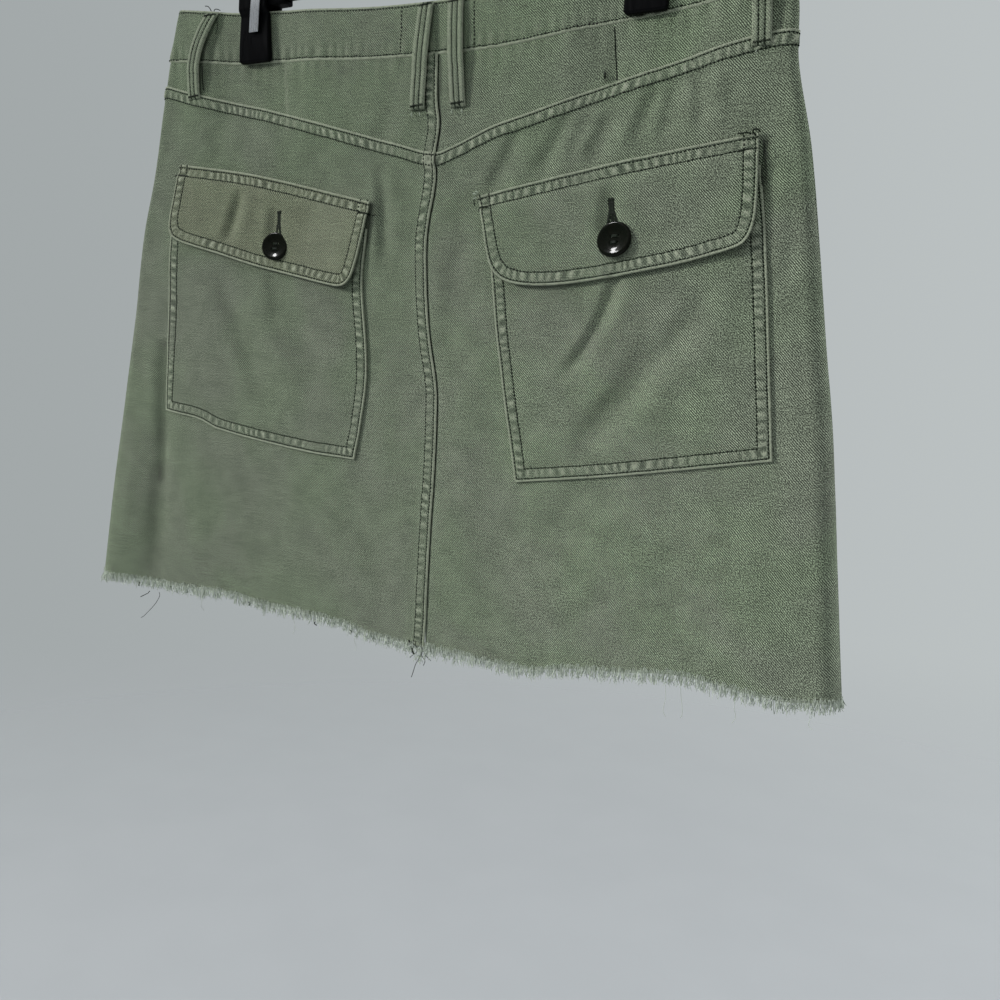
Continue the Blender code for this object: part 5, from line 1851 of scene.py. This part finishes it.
def build_thread_ends():
    """Cut ends of thread left at the tacks, and the frayed bits of the folds beside them."""
    kinds = (("cut_thread_ends", ENDS, "thread", 1.0), ("frayed_fold_ends", PALE_ENDS, "fray", 0.8))
    for name, ends, finish, thin in kinds:
        lines = []
        for start, bends, radius in ends:
            x, z, t = bent_line(start, bends)
            off = (2.6 if z[0] > -45 else 3.4) + 0.5 * np.sin(t * 1.7)
            points = cloth("back", x, z) + outward("back", x, z, 2.0) * off[:, None]
            lines.append((points, radius * thin))
        mesh = tube_mesh(name, lines)
        shade = mesh.attributes.new("shade", "FLOAT", "POINT").data
        shade.foreach_set("value", [FRAY_SHADE] * len(shade))
        add_piece(name, mesh, finish)
    yokes = Cloths("yoke_panel_left", "yoke_panel_right")
    x, z = Edge(*DART).along(np.linspace(0, 1, 40))
    points, _ = yokes.lay("back", x, z, 0.12)
    add_piece("dart_thread", tube_mesh("dart_thread", [(points, 0.46)]), "thread")


# Loose yarns of the hem: where one starts on the back, the bends that it goes through from there,
# and its radius
LOOSE = (
    ((-171, -338.0), ((0.6, -5), (-0.5, -9), (1.0, -12)), 0.12),
    ((-92, -341.0), ((-0.7, -5), (0.8, -9), (-0.6, -12)), 0.12),
    ((-45, -343.0), ((0.9, -6), (1.6, -9), (0.4, -13)), 0.12),
    ((158, -338.0), ((0.4, -8), (-0.8, -15), (1.2, -18)), 0.12),
    ((166, -337.0), ((0.8, -8), (2.2, -15), (1.5, -18)), 0.12),
    ((196, -338.0), ((-0.6, -6), (0.4, -11), (-1.0, -14)), 0.12),
    ((232, -337.0), ((1.6, -5), (1.0, -9), (3.0, -11)), 0.12),
)
# Dark threads: two long ones and four knots at the hem, then the ends of the centre seam's rows
LOOSE_DARK = (
    ((-219.0, -343.5), ((-2.0, -1.6), (-5.2, -3.2), (-9.0, -5.5)), 0.26),
    ((-210.5, -343.0), ((-0.8, -4.0), (-5.0, -10.8), (-13.9, -18.7), (-18.5, -21.5)), 0.17),
    ((-129.6, -337.4), ((0.5, -1.2), (0.1, -2.4)), 0.34),
    ((-75.0, -342.0), ((-0.4, -1.2), (0.3, -2.6)), 0.34),
    ((-48.0, -342.8), ((0.4, -1.1), (-0.2, -2.4)), 0.34),
    ((-229.0, -338.4), ((-0.4, -1.2), (0.3, -2.2)), 0.34),
    ((-4.2, -342.0), ((0.2, -1.8), (2.0, -4.6), (3.9, -7.9)), 0.46),
    ((0.6, -341.0), ((0.4, -4.0), (3.0, -7.4), (2.4, -11.4), (-0.2, -16.6), (-3.1, -24.3)), 0.22),
    ((4.4, -341.0), ((0.4, -5.0), (1.0, -9.0), (2.4, -12.0), (2.0, -15.0)), 0.20),
    ((2.6, -343.0), ((-1.4, -5.0), (-4.2, -8.0), (-5.6, -9.6)), 0.18),
    ((3.8, -344.0), ((2.6, -4.0), (5.8, -6.2), (7.4, -8.2)), 0.18),
)
# Tufts of pale yarn at the foot of the centre seam: middle, half width, count
TUFTS = ((-4.4, -347.5, 2.8, 22), (6.3, -347.5, 3.2, 24), (2.1, -352.5, 2.4, 16))


def loose_line(start, bends):
    """Points of a thread that hangs off the back's outside."""
    dx, dz, t = bent_line((0.0, 0.0), bends, 18)
    base, out = cloth("back", *start), outward("back", *start, 2.0)
    swing = 0.9 + 0.8 * np.sin(t * 2.1 + start[0])
    return base + np.stack([dx, 0 * dx, dz], -1) + out * swing[:, None]


def build_loose_threads():
    """Yarns and threads that hang out of the hem, and the tufts at the foot of the centre seam."""
    pale, dark = [
        [(loose_line(start, bends), radius) for start, bends, radius in table]
        for table in (LOOSE, LOOSE_DARK)]
    chance = np.random.default_rng(7)
    for x, z, half, count in TUFTS:
        for _ in range(count):
            start = (x + chance.uniform(-half, half), z + chance.uniform(0.0, 1.5 * half))
            bends = np.cumsum(chance.uniform((-1.6, -2.6), (1.6, 0.4), (3, 2)), axis=0)
            pale.append((loose_line(start, [tuple(bend) for bend in bends]), 0.16))
    add_piece("loose_yarns_hem", tube_mesh("loose_yarns_hem", pale), "fray")
    add_piece("loose_sewing_threads", tube_mesh("loose_sewing_threads", dark), "thread")


# ---------------------------------------------------------------- buttons


# A button's section from the middle of its face over the rim to its back: radius, height
BUTTON_PROFILE = (
    (0.0, 2.35), (3.4, 2.35), (4.3, 2.42), (5.1, 2.62), (6.0, 2.94), (6.9, 3.26), (7.6, 3.50),
    (8.1, BUTTON_THICK), (8.6, 3.54), (9.0, 3.26), (9.3, 2.78), (BUTTON_RADIUS, 2.1), (9.2, 1.15),
    (8.6, 0.8), (7.4, 0.35), (6.2, 0.0), (0.0, 0.0),
)
BUTTON_SIDES = 56
BUTTON_HOLES_AT = 2.4
BUTTON_HOLE = 0.95


def join_rings(shape, rings):
    """Faces between rings of points; a ring of one point closes an end."""
    for one, two in zip(rings, rings[1:]):
        count = max(len(one), len(two))
        for i in range(count):
            j = (i + 1) % count
            if len(one) == 1:
                shape.faces.new((one[0], two[i], two[j]))
            elif len(two) == 1:
                shape.faces.new((one[i], two[0], one[j]))
            else:
                shape.faces.new((one[i], two[i], two[j], one[j]))


def button_mesh(name):
    """A turned four-hole button, its back at zero and its face along Z, in millimetres."""
    mesh, pins = bpy.data.meshes.new(name), bpy.data.meshes.new("button_pins")
    turn = np.arange(BUTTON_SIDES) * 2 * np.pi / BUTTON_SIDES
    with reshaped(mesh) as shape:
        rings = []
        for r, h in BUTTON_PROFILE:
            places = turn if r else turn[:1]
            rings.append([shape.verts.new((r * math.cos(t), r * math.sin(t), h)) for t in places])
        join_rings(shape, rings)
        bmesh.ops.recalc_face_normals(shape, faces=shape.faces)
    with reshaped(pins) as shape:
        for i in range(4):
            angle = math.pi * (0.25 + i / 2)
            x, y = BUTTON_HOLES_AT * math.cos(angle), BUTTON_HOLES_AT * math.sin(angle)
            bmesh.ops.create_cone(
                shape, cap_ends=True, segments=16, radius1=BUTTON_HOLE, radius2=BUTTON_HOLE,
                depth=3 * BUTTON_THICK, matrix=Matrix.Translation((x, y, BUTTON_THICK / 2)))
    tool = bpy.data.objects.new("button_pins", pins)
    bpy.context.scene.collection.objects.link(tool)

    def prepare(body):
        cut = body.modifiers.new("holes", "BOOLEAN")
        cut.operation, cut.object = "DIFFERENCE", tool

    made = baked(name, mesh, prepare)
    bpy.data.objects.remove(tool)
    return made


def threads_mesh():
    """Six passes of thread over a button's face, and its shank, in millimetres."""
    mesh = bpy.data.meshes.new("threads")
    with reshaped(mesh) as shape:
        for i in range(6):
            across = (i % 2 * 2 - 1) * 1.7 + (i // 2 - 1) * 0.42
            spot = Matrix.Translation((0.0, across, BUTTON_THICK - 1.05))
            bmesh.ops.create_uvsphere(shape, u_segments=8, v_segments=8, radius=1.0,
                                      matrix=spot @ Matrix.Diagonal((2.1, 0.32, 0.32, 1.0)))
        bmesh.ops.create_cone(shape, cap_ends=True, segments=16, radius1=1.6, radius2=1.5,
                              depth=2.6, matrix=Matrix.Translation((0, 0, -1.2)))
    mesh.shade_smooth()
    return mesh


def place_on(mesh, layer, x, z, height, turns, size):
    """Moves a mesh made in millimetres round its own origin onto the cloth, leaning and turned."""
    out = Vector(outward(layer, x, z, 2.0))
    spot = Vector(garment_to_world(cloth(layer, x, z)).tolist()) + out * height * MM
    turn = out.to_track_quat("Z", "Y").to_matrix().to_4x4()
    for axis, angle in zip("XY", turns):
        turn = turn @ Matrix.Rotation(math.radians(angle), 4, axis)
    mesh.transform(Matrix.Translation(spot) @ turn @ Matrix.Scale(MM * size, 4))


def build_buttons():
    """Dark four-hole buttons, sewn on with crossed threads."""
    height = flap_height(0.5, BUTTON_DOWN) + FLAP / 2 + BUTTON_CLEAR
    spots = [(name, "back", *BUTTONS[name], float(height) - BUTTON_SUNK) for name in BUTTONS]
    spots.append(("waist", "front", *WAIST_BUTTON, BAND / 2 + GAP + BAND + GAP + 0.1))
    for name, *spot in spots:
        mesh, threads = button_mesh(f"turned_button_{name}"), threads_mesh()
        for made in (mesh, threads):
            place_on(made, *spot, BUTTON_TURNS[name], BUTTON_SIZES[name])
        made = add_piece(f"turned_button_{name}", mesh, "horn", f"button_{name}")
        made.data.shade_smooth()
        made.data.set_sharp_from_angle(angle=math.radians(38))
        add_piece(f"button_threads_{name}", threads, "thread")


# ---------------------------------------------------------------- hanger

HANGER_TILT = math.radians(0.8)
CLIP_WIDTH = 24.4
CLIP_TAPER = 0.2
JAW_FOOT = 6.8
JAW_HEAD = 60.0
JAW_THICK = 3.4
JAW_BULGE_AT = 16.0
JAW_BULGE_HALF = 14.0
JAW_FOOT_ROUND = 2.6
JAW_FOOT_NARROW = 2.2
JAW_RIM = 1.1
JAW_ACROSS = np.array((
    -1.0, -0.985, -0.95, -0.89, -0.8, -0.66, -0.5, -0.3, -0.1, 0.1, 0.3, 0.5, 0.66, 0.8, 0.89, 0.95,
    0.985, 1.0))
CARRIER_FOOT = 39.6
CARRIER_HALF = 5.0
JAW_STEP = 6.0
SPRING_WIDTH = 7.0
SPRING_THICK = 0.8
SPRING_FOOT = 24.0
SPRING_LEAN = 0.16
SPRING_RISE = 3.5
SPRING_ASIDE = 1.4
SPRING_ACROSS = np.array((-0.5, -0.47, -0.4, -0.2, 0.0, 0.2, 0.4, 0.47, 0.5))
BAR_FOOT = 42.0
BAR_HEIGHT = 10.0
BOSS_HEIGHT = 20.0
HOOK_ROD = 3.5
HOOK_INSIDE = 20.0
HOOK_SOCKET = 14.0
HOOK_SIDES = 20
HOOK_FROM = math.radians(-58)
HOOK_TO = math.radians(202)
NECK_STRAIGHT = 22.0


def from_level(points):
    """Points of the hanger as it hangs level, moved into the garment's frame."""
    points = np.array(points, float)
    x, z = points[..., 0].copy(), points[..., 2] - WAIST_DROP
    cos, sin = math.cos(HANGER_TILT), math.sin(HANGER_TILT)
    points[..., 0] = x * cos - z * sin
    points[..., 2] = x * sin + z * cos + WAIST_DROP
    return points


def softened_copy(node, name, width):
    """A packed solid merged, cleaned and given rounded edges."""
    mesh = bpy.data.objects[node].data.copy()
    with reshaped(mesh) as shape:
        bmesh.ops.remove_doubles(shape, verts=shape.verts, dist=2e-6)
        bmesh.ops.dissolve_limit(
            shape, angle_limit=math.radians(1.5), verts=shape.verts, edges=shape.edges)
        bmesh.ops.recalc_face_normals(shape, faces=shape.faces)

    def prepare(helper):
        bevel = helper.modifiers.new("rounded", "BEVEL")
        bevel.width, bevel.segments = width * MM, 2
        bevel.limit_method, bevel.angle_limit = "ANGLE", math.radians(40.0)

    made = baked(name, mesh, prepare)
    made.shade_smooth()
    made.set_sharp_from_angle(angle=math.radians(50))
    return made


def hook_line():
    """The hook's middle from its foot in the boss to its tip, in the hanger's level."""
    radius = HOOK_INSIDE + HOOK_ROD
    foot = BAR_FOOT + BAR_HEIGHT + BOSS_HEIGHT - HOOK_SOCKET - WAIST_DROP
    neck = foot + NECK_STRAIGHT
    angle = np.linspace(HOOK_FROM, HOOK_TO, 72)
    arc_x, arc_z = radius * np.cos(angle), radius * np.sin(angle) - HOOK_INSIDE
    t = np.linspace(0, 1, 20)[:-1]
    rise = arc_z[0] - neck
    slope = -math.tan(HOOK_FROM)
    bend = (3 * t**2 - 2 * t**3) * arc_x[0] + (t**3 - t**2) * rise * slope
    x = np.concatenate([[0.0], bend, arc_x])
    z = np.concatenate([[foot], neck + rise * t, arc_z]) + WAIST_DROP
    return np.stack([x, 0 * x, z], -1)


def hook_tube(name, points, size):
    """A round rod along points in the plane of the hanger, its ends closed."""
    side = np.array((0.0, 1.0, 0.0))
    other = np.cross(unit(np.gradient(points, axis=0)), side)
    turn = np.arange(HOOK_SIDES)[:, None] * 2 * np.pi / HOOK_SIDES
    mesh = bpy.data.meshes.new(name)
    with reshaped(mesh) as shape:
        rings = []
        for place, across, radius in zip(points, other, size):
            ring = garment_to_world(place + radius * (np.cos(turn) * side + np.sin(turn) * across))
            rings.append([shape.verts.new(point) for point in ring])
        join_rings(shape, rings)
        shape.faces.new(rings[0][::-1])
        shape.faces.new(rings[-1])
        bmesh.ops.recalc_face_normals(shape, faces=shape.faces)
    mesh.shade_smooth()
    return mesh


def build_hanger():
    """The bar with its boss, and the moulded hook."""
    mesh = softened_copy("hanger_bar", "hanger_bar_moulding", 0.35)
    add_piece("hanger_bar_moulding", mesh, "moulded", "hanger_bar")
    points = hook_line()
    reach = lengths_along(points)
    size = rounded(reach[-1] - reach + 0.4, HOOK_ROD, 0.35)
    hook = hook_tube("hanger_hook_moulding", from_level(points), size)
    add_piece("hanger_hook_moulding", hook, "moulded", "hanger_hook")


def jaw_plate(name, x, out):
    """A clip jaw: a crowned plate, narrower towards its thumb end, its foot rounded."""
    grip = GAP / 2 + BAND + GAP
    inner = CARRIER_HALF + GAP
    z = JAW_HEAD + (JAW_FOOT - JAW_HEAD) * np.linspace(0, 1, 60)[:, None]
    step = smooth((z - (CARRIER_FOOT - JAW_STEP)) / (JAW_STEP - 1.0))
    face = grip + (inner - grip) * step
    crown = bell(z - JAW_BULGE_AT, JAW_BULGE_HALF)
    u = JAW_ACROSS[None, :]
    half = CLIP_WIDTH / 2 * (1 - CLIP_TAPER * (z - JAW_FOOT) / (JAW_HEAD - JAW_FOOT))
    near_foot = np.clip(1 - (z - JAW_FOOT) / JAW_FOOT_ROUND, 0, 1)
    half = half - JAW_FOOT_NARROW * (1 - np.sqrt(1 - near_foot**2 * 0.96)) - 0.3
    px, pz = np.broadcast_arrays(x + u * half, z)
    body = JAW_THICK + crown * (1 - 0.25 * u**2)
    over = body / 2 - JAW_RIM + rounded(rim_distance(px, pz) + 0.02, JAW_RIM)
    mid = np.stack([px, out * (face + body / 2), pz], -1)
    return shell_mesh(name, from_level(mid), np.array((0.0, out, 0.0)) + 0 * mid, over, over)


def spring_mesh(name, x):
    """A strip of spring steel, bent over the jaws' heads and down to its feet on them."""
    clear = SPRING_THICK / 2 + GAP
    wide = CARRIER_HALF + GAP + JAW_THICK + clear
    low = GAP / 2 + BAND + GAP + JAW_THICK + 1.5 + clear
    keys = np.array([(low, SPRING_FOOT), (low + 0.4, 29.0), (wide + GAP, CARRIER_FOOT),
                     (wide, JAW_HEAD - SPRING_RISE)])
    reach = lengths_along(keys)
    t = np.linspace(0, reach[-1], 36)
    angle = np.linspace(0, np.pi / 2, 12)[1:]
    y = np.concatenate([through(reach, keys[:, 0], t), wide * np.cos(angle)])
    z = np.concatenate([through(reach, keys[:, 1], t), JAW_HEAD + SPRING_RISE * np.sin(angle)])
    y, z = np.concatenate([y, -y[-2::-1]])[:, None], np.concatenate([z, z[-2::-1]])[:, None]
    w = SPRING_ACROSS[None, :]
    px = x + SPRING_ASIDE + w * SPRING_WIDTH + SPRING_LEAN * (z - SPRING_FOOT)
    mid = np.stack(np.broadcast_arrays(px, y, z), -1)
    way = unit(np.gradient(np.concatenate([y, z], 1), axis=0))
    normal = np.zeros(mid.shape)
    normal[..., 1], normal[..., 2] = way[:, 1:], -way[:, :1]
    from_edge = np.minimum(0.5 - abs(w), 0.5) * SPRING_WIDTH + 0.02 + 0 * y
    thick = rounded(from_edge, SPRING_THICK / 2)
    return shell_mesh(name, from_level(mid), normal, thick, thick)


def build_clips():
    """Two clips: jaws, carriers on the bar, and steel spring strips."""
    shift = WAIST_DROP * math.sin(HANGER_TILT)
    for (name, _), place in zip(SIDES, CLIP_AT):
        x = place - shift
        for end, out in (("front", -1.0), ("rear", 1.0)):
            piece = f"clip_{name}_jaw_{end}_plate"
            add_piece(piece, jaw_plate(piece, x, out), "moulded", f"clip_{name}_jaw_{end}")
        node, piece = f"clip_{name}_carrier", f"clip_{name}_carrier_block"
        add_piece(piece, softened_copy(node, piece, 0.5), "moulded", node)
        piece = f"clip_{name}_spring_strip"
        add_piece(piece, spring_mesh(piece, x), "steel", f"clip_{name}_spring")


# ---------------------------------------------------------------- stage


FLOOR_LEVEL = -1.35
FLOOR_RADIUS = 4.0
LAMP_AIM = (0.0, 0.0, -0.3)
# Square lamps: name, place, size, power, colour, and the kind of ray that doesn't meet them
LAMPS = (
    ("key", (-7.0, -5.2, 2.9), 1.5, 650.0, (1.0, 0.985, 0.955), "glossy"),
    ("fill", (0.5, -3.6, 1.3), 1.8, 25.0, (0.95, 0.98, 1.0), "glossy"),
    ("window", (-1.0, -1.0, 1.72), 0.55, 72.0, (1.0, 1.0, 1.0), "diffuse"),
    ("rear", (3.4, 2.2, 1.5), 1.2, 120.0, (1.0, 1.0, 1.0), "glossy"),
)
CAMERA_AT = (0.3054, -0.5183, -0.3103)
# The camera's right, its up, and the way behind it
CAMERA_AXES = (
    (0.89107, 0.45197, 0.04140), (-0.10675, 0.12005, 0.98701), (0.44113, -0.88392, 0.15522))
CAMERA_LENS = 36.0
CAMERA_SENSOR = 36.0


def build_world():
    world = bpy.data.worlds.new("pale_room")
    world.use_nodes = True
    tree = world.node_tree
    way = split_up(tree, put(tree, "ShaderNodeTexCoord").outputs["Generated"])
    dim = blend_colour(
        tree, ramp(tree, way["Z"], -0.6, 0.9), colour("light_low"), colour("light_high"))
    # Painted shade on the backdrop: what the camera sees of the room is darker towards the left
    pale = blend_colour(
        tree, ramp(tree, way["X"], -0.9, 0.1), colour("surround_painted_shade"), colour("surround"))
    seen = put(tree, "ShaderNodeLightPath").outputs["Is Camera Ray"]
    tree.links.new(blend_colour(tree, seen, dim, pale), tree.nodes["Background"].inputs["Color"])
    bpy.context.scene.world = world


def build_floor():
    """A pale floor that fades into the room."""
    mesh = bpy.data.meshes.new("floor")
    with reshaped(mesh) as shape:
        bmesh.ops.create_circle(shape, cap_ends=True, segments=96, radius=FLOOR_RADIUS,
                                matrix=Matrix.Translation((0.0, 0.0, FLOOR_LEVEL)))
    floor = bpy.data.objects.new("floor", mesh)
    bpy.context.scene.collection.objects.link(floor)
    made, tree, shader = start_material("pale_floor")
    place = put(tree, "ShaderNodeTexCoord").outputs["Object"]
    flat = feed(tree, "ShaderNodeVectorMath", {0: place, 1: (1.0, 1.0, 0.0)}, operation="MULTIPLY")
    far = put(tree, "ShaderNodeVectorMath", {0: flat}, operation="LENGTH").outputs["Value"]
    tree.links.new(ramp(tree, far, 0.9, 3.4, 1.0, 0.0), shader["Alpha"])
    grain = ramp(tree, noise(tree, place, 6.0, 4.0), 0.3, 0.7, 0.0, 0.12)
    tone = blend_colour(tree, grain, colour("floor"), colour("floor_dull"))
    tree.links.new(tone, shader["Base Color"])
    shader["Roughness"].default_value = 0.85
    mesh.materials.append(made)


def build_lamps():
    for name, place, size, power, shade, unseen in LAMPS:
        data = bpy.data.lights.new(name, "AREA")
        data.shape, data.size, data.size_y = "RECTANGLE", size, size
        data.energy, data.color = power, shade
        made = bpy.data.objects.new(name, data)
        made.location = place
        made.rotation_mode = "QUATERNION"
        made.rotation_quaternion = (Vector(LAMP_AIM) - Vector(place)).to_track_quat("-Z", "Y")
        bpy.context.scene.collection.objects.link(made)
        setattr(made, f"visible_{unseen}", False)


def build_camera():
    scene = bpy.context.scene
    camera = bpy.data.objects.new("camera", bpy.data.cameras.new("camera"))
    camera.data.lens, camera.data.sensor_width = CAMERA_LENS, CAMERA_SENSOR
    camera.data.clip_start, camera.data.clip_end = 0.01, 50.0
    camera.rotation_mode = "QUATERNION"
    camera.rotation_quaternion = Matrix(CAMERA_AXES).transposed().to_quaternion()
    camera.location = CAMERA_AT
    scene.collection.objects.link(camera)
    scene.camera = camera
    scene.view_settings.view_transform = "Standard"


# ---------------------------------------------------------------- operators and panel


def operator(name, label, text, *steps):
    """An operator class that runs the given steps."""

    def execute(self, context):
        for step in steps:
            step()
        return {"FINISHED"}

    return type(
        f"SKIRT_OT_{name}", (bpy.types.Operator,),
        {"bl_idname": f"skirt.{name}", "bl_label": label, "__doc__": text, "execute": execute},
    )


OPERATORS = (
    operator("stage", "Stage", "Floor, light and camera",
             build_world, build_floor, build_lamps, build_camera),
    operator("waistband", "Waistband", "The three lengths of the waistband", build_waistband),
    operator("panels", "Panels", "Yokes, backs, fronts and the fly facing",
             build_yokes, build_backs, build_fronts, build_fly),
    operator("pockets", "Patch pockets", "The two patch pockets", build_pockets),
    operator("flaps", "Pocket flaps", "The two pocket flaps", build_flaps),
    operator("loops", "Belt loops", "The six belt loops", build_loops),
    operator("stitching", "Topstitching", "Rows of stitches on every seam", build_stitching),
    operator("tacks", "Tacks", "Bar tacks and the buttonholes' edges", build_tacks),
    operator("fray", "Frayed hem", "Loose yarns of the raw hem",
             build_fray, build_loose_threads),
    operator("ends", "Thread ends", "Cut thread ends, frayed bits and the dart's thread",
             build_thread_ends),
    operator("buttons", "Buttons", "Four-hole buttons and their threads", build_buttons),
    operator("hanger", "Hanger", "Bar and hook", build_hanger),
    operator("clips", "Clips", "Jaws, carriers and springs", build_clips),
)


class SKIRT_PT_parts(bpy.types.Panel):
    """Lists the steps that make the skirt."""

    bl_label = "Cargo utility skirt"
    bl_idname = "SKIRT_PT_parts"
    bl_space_type = "VIEW_3D"
    bl_region_type = "UI"
    bl_category = "Skirt"

    def draw(self, context):
        for made in OPERATORS:
            self.layout.operator(made.bl_idname)


CLASSES = (SkirtSizes, SkirtColours, *OPERATORS, SKIRT_PT_parts)


def register():
    for made in CLASSES:
        bpy.utils.register_class(made)
    bpy.types.Scene.skirt_sizes = bpy.props.PointerProperty(type=SkirtSizes)
    bpy.types.Scene.skirt_colours = bpy.props.PointerProperty(type=SkirtColours)


def unregister():
    del bpy.types.Scene.skirt_sizes
    del bpy.types.Scene.skirt_colours
    for made in reversed(CLASSES):
        bpy.utils.unregister_class(made)


def main():
    register()
    for made in OPERATORS:
        getattr(bpy.ops.skirt, made.bl_idname.split(".")[1])()


if __name__ == "__main__":
    main()
